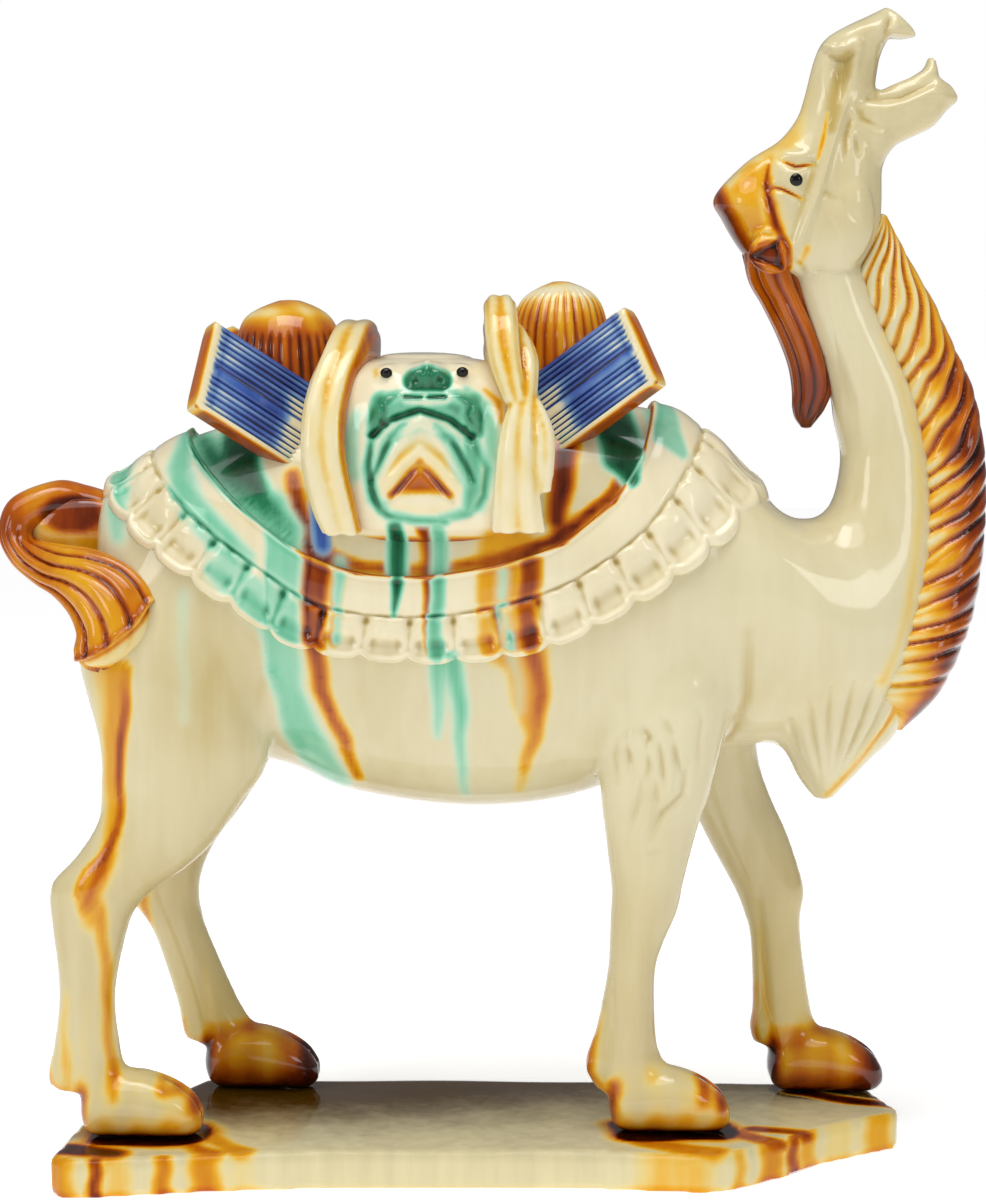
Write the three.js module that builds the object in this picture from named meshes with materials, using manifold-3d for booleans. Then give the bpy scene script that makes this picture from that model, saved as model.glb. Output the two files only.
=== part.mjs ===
import * as THREE from "three";
import { mergeVertices } from "three/addons/utils/BufferGeometryUtils.js";
import Module from "manifold-3d";

// Ceramic camel carrying a load, on a low slab. Millimetres, +Z up, head towards +X.
// The animal is laid out about its own mid-plane y = 0, near side at -y, and moved as a whole at the end.

// Slab
const SLAB_THICKNESS = 14.4;
const SLAB_EDGE_ROUND = 1.6;
const SLAB_CORNERS = [
  [-169, -70], [-163, -77], [-150, -76], [-110, -68.5], [-62, -63.5], [0, -63], [42, -65], [80, -70],
  [92, -66.5], [112, -50], [130, -31], [148, -18], [163, -8], [165, 2], [155, 41], [116, 43],
  [54, 46], [-70, 48], [-122, 48], [-131, 29], [-165, -21],
];
const GAP = 0.3;
const MIDPLANE_Y = 6;

// Feet and legs
const GROUND = SLAB_THICKNESS + GAP;
const HIND_Y = 39;
const FORE_Y = 32;
const FOOT_LENGTH = 46.5;
const FOOT_HEIGHT = 20.5;
const FOOT_HALF_WIDTH = 12.4;
const SOLE_SINK = 3;

// Outlines are rows [ax, az, bx, bz, half, y]: two opposite points of a section in the side view,
// its half width across the animal and where its middle lies across the animal.
const TORSO = [
  [-157, 238, -157, 258, 12, 0],
  [-153, 206, -153, 268, 26, 0],
  [-141, 181, -141, 276, 37, 0],
  [-122, 166.5, -122, 286.5, 44.2, 0],
  [-81, 156, -81, 299, 49.5, 0],
  [-57, 146, -57, 303, 50.5, 0],
  [-14, 139.5, -14, 304.5, 51, 0],
  [27, 142.5, 27, 303, 50.5, 0],
  [67, 156, 67, 297.5, 46.5, 0],
  [83, 161, 83, 289, 43, 0],
  [99, 164, 99, 275.5, 38, 0],
  [115, 168, 115, 256, 30, 0],
  [127, 176, 127, 236, 18, 0],
];
const TORSO_SQUARE = 2.15;
const NECK = [
  [118, 355, 148, 352, 14, 0],
  [122, 340, 151, 341, 14.5, 0],
  [133.5, 308, 167, 308, 16.5, 0],
  [136, 294, 172, 292, 17.5, 0],
  [139, 278, 175.5, 276, 19, 0],
  [134, 257.5, 178.5, 238, 25, 0],
  [122, 253.5, 175, 214, 30, 0],
  [108, 262, 169, 190, 35, 0],
  [94, 274, 151, 175, 39, 0],
  [79, 285, 124, 168, 40, 0],
  [58, 284, 102, 164, 39, 0],
  [40, 278, 80, 168, 33, 0],
];
const MANE = [
  [153, 375, 156.5, 374, 4, 0],
  [143, 357, 165.5, 357, 10, 0],
  [144.5, 342, 174.5, 342, 12, 0],
  [153, 324, 183.5, 323, 13, 0],
  [160, 308, 190.5, 308, 14, 0],
  [164, 292, 194.5, 292, 15, 0],
  [166.5, 274, 196.5, 274, 16, 0],
  [166, 256, 196.5, 254, 17, 0],
  [163, 238, 195, 237, 18, 0],
  [159, 218, 192, 218, 19, 0],
  [154.5, 202, 186.5, 201.5, 18.5, 0],
  [151, 188, 180, 187.5, 16, 0],
  [158, 177, 172, 177.5, 11, 0],
  [161, 170.5, 165, 170.5, 4, 0],
];
const LOCK_SLANT = 12;
const OUTER_SHARE = 0.4;
const LOCK_NARROWING = 0.8;
const LOCK_INSET = 2;
const CHEST_TUFT = [
  [112, 190, 166, 184, 28, 0],
  [114, 168, 162, 168.5, 22, 0],
  [119.5, 157.5, 152, 158, 17, 0],
  [123.5, 149.5, 144, 149.5, 12, 0],
  [129, 142.5, 137, 142.2, 5, 0],
];
const HEAD = [
  [103, 353, 142, 349, 13, 0],
  [97, 361.5, 149, 356.5, 17, 0],
  [91, 373, 153, 367, 18, 0],
  [87.7, 382, 154, 379, 17.5, 0],
  [100, 395.6, 154, 392, 16, 0],
  [113, 404, 155, 397, 14.5, 0],
  [120, 412.5, 153.5, 404.5, 13, 0],
  [123, 420.5, 150.5, 416.5, 12, 0],
  [127, 436, 152, 433.5, 11.5, 0],
  [131, 443.7, 154.5, 441.4, 12, 0],
  [139, 448.8, 157, 444.5, 12, 0],
  [148, 453, 162, 444.2, 10.5, 0],
  [154.5, 456.2, 166.7, 445, 8, 0],
];
const LOWER_JAW = [
  [139, 422, 148.7, 387, 12, 0],
  [146, 423.5, 155, 396.8, 12, 0],
  [152.3, 423.8, 159.3, 402.3, 11.5, 0],
  [159, 426.6, 166, 405.8, 11, 0],
  [167, 429.5, 173.8, 409.7, 10.5, 0],
  [173.6, 430.3, 179, 415.6, 9, 0],
  [178.8, 427, 183.2, 419.5, 6, 0],
];
const LIP_POINT = [
  [158, 425, 166, 417, 9, 0],
  [165, 429, 172.5, 423.5, 8, 0],
  [170, 432.5, 176, 428.5, 6.5, 0],
  [172, 437, 174.8, 435.5, 4, 0],
];
const NAPE_TUFT = [
  [99, 363, 120, 365, 14, 0],
  [101.5, 349.5, 121.3, 352.7, 13, 0],
  [107, 339.6, 125.3, 341.6, 12, 0],
  [113, 327.7, 130.6, 329.7, 11, 0],
  [117.6, 315.8, 134.3, 317.8, 10, 0],
  [119.3, 306, 135.2, 306.7, 8.5, 0],
  [120.5, 298.7, 131.3, 298.7, 6, 0],
  [122.5, 293, 126.5, 293, 3, 0],
];
const NEAR_HIND_LEG = [
  [-138, 252, -99, 242, 9, 22],
  [-148, 240, -92, 225, 15, 27],
  [-162, 209, -87, 194, 18, 31],
  [-153.5, 170, -88, 161.5, 15.5, 36],
  [-152.5, 152.5, -97.5, 146.5, 13.5, 37.5],
  [-154, 138, -109, 130, 12.5, 38.5],
  [-162.5, 124.5, -120, 120, 11.5, 39],
  [-171.5, 115, -130, 113.5, 11, 39],
  [-173, 107, -137, 107, 10.5, 39],
  [-172, 97.5, -142, 98.5, 10.2, 39],
  [-169.6, 71.5, -147.7, 71.5, 9.5, 39],
  [-172, 49.5, -146, 49.5, 10, 39],
  [-174, 41.5, -143.5, 40.5, 10.6, 39],
  [-174, 34, -137, 32, 11, 39],
];
const FAR_HIND_LEG = [
  [-138, 252, -99, 242, 9, 22],
  [-148, 240, -92, 225, 15, 27],
  [-159, 209, -87, 194, 18, 31],
  [-156, 160.5, -91, 158.5, 15, 36],
  [-155, 135, -103.5, 135, 13, 38],
  [-156, 117.5, -115, 119.5, 12, 39],
  [-157, 105, -121.3, 106.6, 11, 39],
  [-153, 95, -123, 96, 10.5, 39],
  [-145, 84.6, -121.5, 85.4, 10, 39],
  [-140.4, 75, -118.2, 76, 9.6, 39],
  [-132.7, 50.6, -107.5, 51.4, 10, 39],
  [-131, 41.2, -102, 42, 10.6, 39],
  [-129, 34, -96, 33, 11, 39],
];
const NEAR_FORE_LEG = [
  [46, 224, 88, 224, 8, 22],
  [37.6, 209, 96, 209, 13, 26],
  [41, 186, 94, 189.5, 15, 30],
  [42, 150.5, 85.3, 150.5, 14, 32],
  [43.7, 135, 80.3, 135.6, 13, 32],
  [46.5, 111, 74.6, 113, 12, 32],
  [46.1, 101.3, 72.5, 102.4, 11.5, 32],
  [45.8, 89.4, 67, 89.4, 10, 32],
  [45, 77.5, 63.8, 77.5, 9.5, 32],
  [40.8, 55.6, 64, 55, 10, 32],
  [37.8, 47, 65.5, 46, 10.6, 32],
  [36.5, 39.5, 69, 37.7, 11, 32],
  [41, 31, 72, 30, 10, 32],
];
const FAR_FORE_LEG = [
  [64, 224, 98, 224, 8, 20],
  [58, 209, 104, 209, 13, 26],
  [64, 186, 106, 189, 15, 30],
  [74.6, 152, 110, 154, 13.5, 32],
  [82, 135.5, 115.2, 137.5, 12.5, 32],
  [89, 120.5, 122.8, 120.5, 12, 32],
  [100.4, 99.4, 129.3, 99.4, 11.5, 32],
  [104.3, 89.7, 128.1, 89.7, 10.5, 32],
  [107.3, 78.2, 128.2, 78.2, 9.8, 32],
  [108.3, 50.6, 132.2, 50.6, 10, 32],
  [107.1, 41.2, 135.3, 41.2, 10.6, 32],
  [109, 34, 141, 33, 11, 32],
];
// Heels of the four feet, from the tail end: x of the back of the foot
const FEET = [
  { heel: -160.5, y: -HIND_Y },
  { heel: -119.5, y: HIND_Y - 2 },
  { heel: 46.5, y: -FORE_Y },
  { heel: 115.5, y: FORE_Y - 1 },
];
// Rows of a foot: share of its length, share of its height below and above, share of its half width
const FOOT_ROWS = [
  [0.02, 0.1, 0.75, 0.72],
  [0.12, 0, 0.96, 0.92],
  [0.46, 0, 1.03, 1.03],
  [0.78, 0, 0.86, 1.0],
  [0.92, 0, 0.6, 0.82],
  [0.99, 0, 0.36, 0.5],
];

// Tail: from the rump out, round, and down onto the near haunch
const TAIL = [
  [-142, 246, -150, 264, 9, 0],
  [-158, 250, -162, 268, 8.5, -2],
  [-172, 253, -174, 270, 8, -6],
  [-184, 249, -191, 263, 8, -10],
  [-187, 243, -196, 251, 8, -14],
  [-183, 237, -191, 231, 8.5, -18],
  [-174, 233, -178, 219, 9, -23],
  [-160, 232, -168, 209, 9.5, -30],
  [-147, 228, -163, 203, 9.5, -38],
  [-134, 214, -160, 200, 9.5, -43],
  [-129, 199, -158, 196, 9, -45],
  [-133, 189, -160, 187, 7.5, -45],
  [-142, 180, -157, 180, 4, -43],
];
const TAIL_WEB = { x: -166, z: 248, radius: 22, y: -11, half: 5.5 };

// Load: humps, the bag block with a mask on each side, skeins and boards
const HUMPS = [
  [
    [-104, 280, -57, 280, 26, 0],
    [-104, 305, -57, 305, 25, 0],
    [-102.5, 323, -59.5, 323, 22.5, 0],
    [-99, 334, -64, 334, 17, 0],
    [-91, 339.5, -71, 339.5, 9, 0],
  ],
  [
    [5, 280, 49, 280, 26, 0],
    [5, 312, 49, 312, 25, 0],
    [7, 330, 46, 330, 22, 0],
    [11, 341, 42.5, 341, 16, 0],
    [18.5, 347, 36, 347, 9, 0],
  ],
];
const BAG = [
  [-58, 246, 8, 246, 46, 0],
  [-68, 254, 18, 254, 56, 0],
  [-73, 266, 23, 266, 59.5, 0],
  [-73, 281, 23, 281, 60.5, 0],
  [-71, 297, 21, 297, 59.5, 0],
  [-66, 309, 16, 309, 55, 0],
  [-57, 315.5, 7, 315.5, 48, 0],
  [-45, 318.4, -8, 318.4, 38, 0],
];
const BAG_SQUARE = 3.4;
// Skeins: rows [outer y, outer z, inner y, inner z, half width in x, middle x], near side up to the top
const LEFT_SKEIN = [
  [-58, 248, -49, 250, 8.5, -57],
  [-63.5, 280, -52, 280, 10, -63.5],
  [-61, 297, -49, 294, 9.5, -63],
  [-55, 311, -44, 304, 9.5, -61],
  [-44, 323.5, -36, 308, 9.8, -57.5],
  [-30, 331, -22, 311, 9.8, -55.5],
  [-12, 333.5, -10, 312, 9.8, -54.5],
];
const RIGHT_SKEIN = [
  [-58, 249, -49, 251, 9, 9.5],
  [-63.5, 280, -52, 280, 10, 12.5],
  [-61, 298, -49, 295, 9.5, 12],
  [-55, 314, -44, 307, 9.2, 10],
  [-44, 330, -36, 308, 8, 6],
  [-30, 338.5, -22, 311, 7.4, 3.5],
  [-12, 341, -10, 312, 7, 1.8],
];
const KNOT = { middle: [2, -31, 338.5], radii: [6.5, 6.5, 6.5] };
// Folds of the mask: height of the apex, reach to each side and fall
const FOLDS = [[296, 18.5, 8], [292, 17, 24], [284, 13.5, 15], [277, 9, 11]];
const FOLD_MIDDLE = -27;
const FOLD_WIDTH = 5.6;
const FOLD_RISE = 2.2;
// Boards: outer top corner, direction along the ridges, direction down the end, sizes
const BOARD_THICKNESS = 11;
const BOARD_RIDGES = 9;
const BOARD_RIDGE_DEPTH = 1.3;
const BOARDS = [
  { corner: [-106, -38, 332.7], along: [0.792, 0.3, -0.529], down: [-0.186, -0.35, -0.918], length: 56, width: 36 },
  { corner: [49.5, -37, 338], along: [-0.763, 0.3, -0.572], down: [0.367, -0.35, -0.862], length: 52, width: 34 },
];

// Saddle cloth: its inner rim and its outer scalloped edge in the side view, as smooth curves
const CLOTH_PROUD = 2.6;
const CLOTH_RIM = [
  [-122, 296], [-115, 281], [-98, 263], [-76, 246], [-52, 237], [-27, 235.5], [2, 240], [26, 248],
  [46, 264], [57, 281], [63, 306],
];
const CLOTH_EDGE = [
  [-160, 278], [-147, 262], [-131, 244], [-98, 222], [-72, 208], [-24, 203], [19, 208], [55, 225],
  [80, 242], [104, 264], [118, 284],
];
const PETALS = 18;
const PETAL_HALF_WIDTH = 10.6;
const PETAL_HALF_HEIGHT = 9;
const PETAL_RISE = 2.8;
const CLOTH_SIDE_REACH = 14;

const wasm = await Module();
wasm.setup();
const { Manifold, Mesh } = wasm;

// A closed three.js geometry as a solid with its faces pointing out
function solid(geometry) {
  const bare = geometry.clone();
  bare.deleteAttribute("normal");
  bare.deleteAttribute("uv");
  const merged = mergeVertices(bare, 1e-4);
  const vertProperties = new Float32Array(merged.attributes.position.array);
  const triVerts = new Uint32Array(merged.index.array);
  const made = new Manifold(new Mesh({ numProp: 3, vertProperties, triVerts }));
  if (made.volume() > 0) {
    return made;
  }
  return new Manifold(new Mesh({ numProp: 3, vertProperties, triVerts: triVerts.reverse() }));
}

function geometryOf(body) {
  const mesh = body.getMesh();
  const geometry = new THREE.BufferGeometry();
  const positions = new Float32Array(mesh.numVert * 3);
  for (let i = 0; i < mesh.numVert; i += 1) {
    for (let axis = 0; axis < 3; axis += 1) {
      positions[i * 3 + axis] = mesh.vertProperties[i * mesh.numProp + axis];
    }
  }
  geometry.setAttribute("position", new THREE.BufferAttribute(positions, 3));
  geometry.setIndex(new THREE.BufferAttribute(new Uint32Array(mesh.triVerts), 1));
  geometry.computeVertexNormals();
  return geometry;
}

// Rows between the given ones, on a smooth curve through them
function smoothRows(rows, between) {
  const made = [];
  for (let i = 0; i < rows.length - 1; i += 1) {
    const around = [rows[Math.max(i - 1, 0)], rows[i], rows[i + 1], rows[Math.min(i + 2, rows.length - 1)]];
    for (let step = 0; step <= between; step += 1) {
      made.push(rowBetween(around, step / (between + 1)));
    }
  }
  made.push(rows[rows.length - 1]);
  return made;
}

function rowBetween([before, from, to, after], t) {
  return from.map((value, k) => {
    const pull = (to[k] - before[k]) * t;
    const bend = (2 * before[k] - 5 * value + 4 * to[k] - after[k]) * t * t;
    const turn = (3 * value - before[k] - 3 * to[k] + after[k]) * t * t * t;
    return value + 0.5 * (pull + bend + turn);
  });
}

// Point of a section at an angle. Rows lie in the side view, or across the animal for a skein.
function sectionPoint(row, angle, square, flute, across) {
  const [ax, az, bx, bz, half, middle] = row;
  const power = 2 / square;
  const c = Math.sign(Math.cos(angle)) * Math.abs(Math.cos(angle)) ** power * flute;
  const s = Math.sign(Math.sin(angle)) * Math.abs(Math.sin(angle)) ** power * flute;
  const u = (ax + bx) / 2 + c * (bx - ax) / 2;
  const z = (az + bz) / 2 + c * (bz - az) / 2;
  const v = middle + s * half;
  return across ? [v, u, z] : [u, v, z];
}

// A rounded end beyond a row: shrunken sections that close the form
function endRows(row, inner, bulge) {
  const middle = [(row[0] + row[2]) / 2, (row[1] + row[3]) / 2];
  const behind = [(inner[0] + inner[2]) / 2, (inner[1] + inner[3]) / 2];
  const length = Math.hypot(middle[0] - behind[0], middle[1] - behind[1]) || 1;
  const out = [(middle[0] - behind[0]) / length, (middle[1] - behind[1]) / length];
  const angles = bulge > 0 ? [Math.PI / 5, Math.PI / 2] : [Math.PI / 2];
  return angles.map((angle) => {
    const size = Math.cos(angle);
    const push = bulge * Math.sin(angle);
    const x = middle[0] + out[0] * push;
    const z = middle[1] + out[1] * push;
    const dx = (row[2] - row[0]) / 2 * size;
    const dz = (row[3] - row[1]) / 2 * size;
    return [x - dx, z - dz, x + dx, z + dz, row[4] * size, row[5]];
  });
}

// A closed form through rows of sections, with rounded ends, and ridges along it if fluted
function loft(rows, options = {}) {
  const { sides = 14, between = 0, square = 2, fluted = 0, bulge = [2, 2], across = false } = options;
  const body = smoothRows(rows, between);
  const start = endRows(body[0], body[1], bulge[0]).reverse();
  const end = endRows(body[body.length - 1], body[body.length - 2], bulge[1]);
  const rings = [...start, ...body, ...end];
  const geometry = new THREE.SphereGeometry(1, sides, rings.length - 1);
  const position = geometry.attributes.position;
  for (let i = 0; i < position.count; i += 1) {
    const ring = Math.floor(i / (sides + 1));
    const side = i % (sides + 1) % sides;
    const flute = side % 2 === 1 ? 1 - fluted : 1;
    const angle = side / sides * 2 * Math.PI;
    position.setXYZ(i, ...sectionPoint(rings[ring], angle, square, flute, across));
  }
  return solid(geometry);
}

// Point on the near side of a form, part of the way along its rows and across from a to b
function onSide(rows, along, across) {
  const place = THREE.MathUtils.clamp(along, 0, 1) * (rows.length - 1);
  const i = Math.min(Math.floor(place), rows.length - 2);
  const around = [rows[Math.max(i - 1, 0)], rows[i], rows[i + 1], rows[Math.min(i + 2, rows.length - 1)]];
  const [ax, az, bx, bz, half, middle] = rowBetween(around, place - i);
  const reach = half * Math.sqrt(1 - (2 * across - 1) ** 2);
  return [ax + (bx - ax) * across, middle - reach, az + (bz - az) * across];
}

function mirroredRows(rows) {
  return rows.map((row) => [...row.slice(0, 5), -row[5]]);
}

function joined(bodies) {
  return bodies.reduce((whole, body) => whole.add(body));
}

function bothSides(body) {
  return body.add(mirrored(body));
}

function mirrored(body) {
  return body.mirror([0, 1, 0]);
}

function ellipsoid(middle, radii, sides = 6, rings = 3) {
  const geometry = new THREE.SphereGeometry(1, sides, rings);
  geometry.scale(...radii);
  geometry.translate(...middle);
  return solid(geometry);
}

// A pointed wedge from one point to another, cut as a furrow or added as a ridge
function wedge(from, to, width, depth) {
  const start = new THREE.Vector3(...from);
  const end = new THREE.Vector3(...to);
  const along = end.clone().sub(start);
  const length = along.length();
  along.normalize();
  const out = new THREE.Vector3(0, 1, 0);
  const wide = new THREE.Vector3().crossVectors(along, out).normalize();
  out.crossVectors(wide, along);
  const geometry = new THREE.OctahedronGeometry(1, 0);
  geometry.scale(length / 2, depth, width / 2);
  const middle = start.add(end).multiplyScalar(0.5);
  geometry.applyMatrix4(new THREE.Matrix4().makeBasis(along, out, wide).setPosition(middle));
  return solid(geometry);
}

// How far a section of a given half width reaches across, at a share -1 to 1 of its other half width
function sectionReach(half, share, square) {
  return half * (1 - Math.min(Math.abs(share), 1) ** square) ** (1 / square);
}

// The row of a form at a place, where the rows lie along x (key 0) or z (key 1)
function rowAt(rows, key, place) {
  const after = Math.max(rows.findIndex((row) => row[key] > place), 1);
  const [from, to] = [rows[after - 1], rows[after]];
  const t = THREE.MathUtils.clamp((place - from[key]) / (to[key] - from[key]), 0, 1);
  return from.map((value, k) => value + (to[k] - value) * t);
}

// How far the torso reaches across at a point of the side view
function torsoReach(x, z) {
  const [, low, , high, half] = rowAt(TORSO, 0, x);
  return sectionReach(half, (2 * z - low - high) / (high - low), TORSO_SQUARE);
}

// Point on the near face of the bag, sunk by some amount
function onBag(x, z, sink = 0) {
  const [from, , to, , half] = rowAt(BAG, 1, z);
  return [x, sink - sectionReach(half, (2 * x - from - to) / (to - from), BAG_SQUARE), z];
}

function grownTorso(amount) {
  return TORSO.map(([ax, az, bx, bz, half, y]) => [ax, az - amount, bx, bz + amount, half + amount, y]);
}

function makeSlab() {
  const outline = new THREE.Shape(SLAB_CORNERS.map(([x, y]) => new THREE.Vector2(x, y)));
  const slab = new THREE.ExtrudeGeometry(outline, {
    depth: SLAB_THICKNESS - 2 * SLAB_EDGE_ROUND,
    bevelThickness: SLAB_EDGE_ROUND,
    bevelSize: SLAB_EDGE_ROUND,
    bevelOffset: -SLAB_EDGE_ROUND,
    bevelSegments: 2,
  });
  slab.translate(0, 0, SLAB_EDGE_ROUND);
  return solid(slab);
}

function makeFoot({ heel, y }) {
  const rows = FOOT_ROWS.map(([along, low, high, wide]) => {
    const x = heel + along * FOOT_LENGTH;
    const bottom = GROUND - SOLE_SINK + low * FOOT_HEIGHT;
    return [x, bottom, x, GROUND + high * FOOT_HEIGHT, wide * FOOT_HALF_WIDTH, y];
  });
  const foot = loft(rows, { sides: 8, square: 2.5, bulge: [0, 0.8] });
  const toe = heel + FOOT_LENGTH;
  const cleft = wedge([toe - 13, y, GROUND + 12], [toe + 4, y, GROUND + 4], 3.2, 40);
  const turned = new THREE.OctahedronGeometry(1, 0);
  turned.scale(9, 1.6, 8);
  turned.translate(toe + 1, y, GROUND + 5);
  return foot.subtract(solid(turned)).subtract(cleft.intersect(solid(turned)));
}

function belowGround() {
  const block = new THREE.BoxGeometry(500, 200, 20);
  block.translate(0, 0, GROUND - 10);
  return solid(block);
}

function makeLegs() {
  const leg = { sides: 8, bulge: [0, 0] };
  const legs = [
    loft(mirroredRows(NEAR_HIND_LEG), leg),
    loft(FAR_HIND_LEG, leg),
    loft(mirroredRows(NEAR_FORE_LEG), leg),
    loft(FAR_FORE_LEG, leg),
  ];
  return joined([...legs, ...FEET.map(makeFoot)]).subtract(belowGround());
}

// The mane with its locks: slanting sections, every second one narrower and set back
function makeMane() {
  const rows = smoothRows(MANE, 1);
  const carved = rows.map(([ax, az, bx, bz, half, y], i) => {
    const slant = LOCK_SLANT * Math.sin(Math.PI * i / (rows.length - 1));
    const hollow = i % 2 === 1;
    const outer = hollow ? bx - LOCK_INSET : bx;
    return [ax, az - slant, outer, bz + slant * OUTER_SHARE, hollow ? half * LOCK_NARROWING : half, y];
  });
  return loft(carved, { sides: 8, bulge: [0, 0] });
}

function tuftFurrows() {
  const spread = [0.3, 0.5, 0.7, 0.88];
  return joined(spread.map((across) => {
    const from = onSide(CHEST_TUFT, 0.93, 0.4 + 0.2 * across);
    return wedge(from, onSide(CHEST_TUFT, 0.25, across), 3, 2.4);
  }));
}

function makeHead() {
  const skull = loft(HEAD, { sides: 10, square: 2.2, bulge: [5, 1.5] });
  const jaw = loft(LOWER_JAW, { sides: 8, square: 2.2, bulge: [0, 1.5] });
  const lip = loft(LIP_POINT, { sides: 6, bulge: [0, 0] });
  const eye = ellipsoid([118.5, -16.2, 390], [4.3, 3, 4.3], 6, 4);
  const cheek = ellipsoid([136, -13, 371], [15, 5, 18]);
  const ear = ellipsoid([107.5, -16, 359], [11.5, 5.5, 9], 8, 4);
  const hollow = ellipsoid([107.5, -21.5, 358.5], [7.8, 4.8, 5.2]);
  const ridge = wedge([121, -17.5, 358], [141, -12.5, 437], 3, 1.8);
  const near = joined([eye, cheek, ear]);
  return joined([skull, jaw, lip]).add(bothSides(near)).subtract(bothSides(hollow.add(ridge)));
}

function makeNeck() {
  const neck = loft(NECK, { sides: 14, square: 2.3, bulge: [0, 0] });
  const chest = loft(CHEST_TUFT, { sides: 10, bulge: [0, 1] });
  const nape = loft(NAPE_TUFT, { sides: 10, fluted: 0.14, bulge: [0, 0] });
  return joined([neck, makeMane(), chest.subtract(bothSides(tuftFurrows())), nape]);
}

function makeTail() {
  const { x, z, radius, y, half } = TAIL_WEB;
  const web = ellipsoid([x, y, z], [radius, half, radius * 0.8], 8, 4);
  return loft(TAIL, { sides: 10, fluted: 0.16, bulge: [0, 1] }).add(web);
}

function makeHumps() {
  return joined(HUMPS.map((rows) => loft(rows, { sides: 16, fluted: 0.08, bulge: [0, 1] })));
}

// Points of a smooth curve in the side view
function curvePoints(points, count) {
  const curve = new THREE.SplineCurve(points.map(([x, z]) => new THREE.Vector2(x, z)));
  return curve.getSpacedPoints(count);
}

function makeCloth() {
  const outline = new THREE.Shape([...curvePoints(CLOTH_EDGE, 18), ...curvePoints(CLOTH_RIM, 16).reverse()]);
  const band = new THREE.ExtrudeGeometry(outline, { depth: 130, bevelEnabled: false });
  band.translate(0, 0, -65);
  band.rotateX(Math.PI / 2);
  const skin = loft(grownTorso(CLOTH_PROUD), { sides: 16, square: TORSO_SQUARE, bulge: [4, 0] });
  return skin.intersect(solid(band)).add(bothSides(makeRuffle()));
}

// Rounded petals side by side along the outer edge of the cloth, on the near side
function makeRuffle() {
  const edge = curvePoints(CLOTH_EDGE, 2 * PETALS);
  const petals = [];
  for (let i = 1; i < 2 * PETALS; i += 2) {
    const { x, y: z } = edge[i];
    if (torsoReach(x, z) > CLOTH_SIDE_REACH) {
      petals.push(makePetal(edge[i], edge[i + 1].clone().sub(edge[i - 1])));
    }
  }
  return joined(petals);
}

function makePetal({ x, y: z }, run) {
  const step = 1;
  const reach = torsoReach(x, z);
  const slopeX = (torsoReach(x + step, z) - torsoReach(x - step, z)) / (2 * step);
  const slopeZ = (torsoReach(x, z + step) - torsoReach(x, z - step)) / (2 * step);
  const out = new THREE.Vector3(-slopeX, -1, -slopeZ).normalize();
  const along = new THREE.Vector3(run.x, 0, run.y).projectOnPlane(out).normalize();
  const inward = new THREE.Vector3().crossVectors(along, out).normalize();
  const petal = new THREE.SphereGeometry(1, 6, 3);
  petal.rotateX(Math.PI / 2);
  petal.scale(PETAL_HALF_WIDTH, PETAL_HALF_HEIGHT, PETAL_RISE);
  const middle = new THREE.Vector3(x, -reach - CLOTH_PROUD, z);
  petal.applyMatrix4(new THREE.Matrix4().makeBasis(along, inward, out).setPosition(middle));
  return solid(petal);
}

function makeSkein(rows) {
  const far = rows.map(([ay, az, by, bz, half, x]) => [-ay, az, -by, bz, half, x]).reverse();
  return loft([...rows, ...far], { sides: 8, square: 3.2, fluted: 0.1, across: true, bulge: [0, 0] });
}

// A board with ridges along its outer face
function makeBoard({ corner, along, down, length, width }) {
  const profile = [];
  for (let i = 0; i <= 2 * BOARD_RIDGES; i += 1) {
    profile.push(new THREE.Vector2(i / (2 * BOARD_RIDGES) * width, i % 2 === 1 ? 0 : -BOARD_RIDGE_DEPTH));
  }
  profile.push(new THREE.Vector2(width, -BOARD_THICKNESS), new THREE.Vector2(0, -BOARD_THICKNESS));
  const board = new THREE.ExtrudeGeometry(new THREE.Shape(profile), { depth: length, bevelEnabled: false });
  const alongAxis = new THREE.Vector3(...along).normalize();
  const downAxis = new THREE.Vector3(...down).normalize();
  const out = new THREE.Vector3().crossVectors(alongAxis, downAxis).normalize();
  if (out.y > 0) {
    out.negate();
  }
  board.applyMatrix4(new THREE.Matrix4().makeBasis(downAxis, out, alongAxis).setPosition(...corner));
  return solid(board);
}

// The mask of a beast on the near side of the bag: eyes, three-lobed nose, lip, cheeks and folds
function makeMask() {
  const features = [
    ellipsoid(onBag(-40.5, 312, 1.5), [2.8, 3, 2.8], 6, 4),
    ellipsoid(onBag(-11.5, 312, 1.5), [2.8, 3, 2.8], 6, 4),
    ellipsoid(onBag(-25, 310, 1), [5.6, 6.5, 5]),
    ellipsoid(onBag(-31, 309, 1.5), [4.4, 5, 3.8]),
    ellipsoid(onBag(-19, 309, 1.5), [4.4, 5, 3.8]),
    ellipsoid(onBag(-25, 301.5, 1.5), [12, 5, 3.6]),
    ellipsoid(onBag(-41.5, 297, 1.5), [5, 4, 6.5]),
    ellipsoid(onBag(-9.5, 297, 1.5), [5, 4, 6.5]),
  ];
  return joined([...features, ...makeFolds()]);
}

// Nested folds hanging from the mouth on both sides of the mask
function makeFolds() {
  const folds = [];
  for (const [apex, reach, fall] of FOLDS) {
    for (const side of [-1, 1]) {
      const foot = onBag(FOLD_MIDDLE + side * reach, apex - fall, 0.8);
      folds.push(wedge(onBag(FOLD_MIDDLE, apex, 0.5), foot, FOLD_WIDTH, FOLD_RISE));
    }
  }
  return folds;
}

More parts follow.
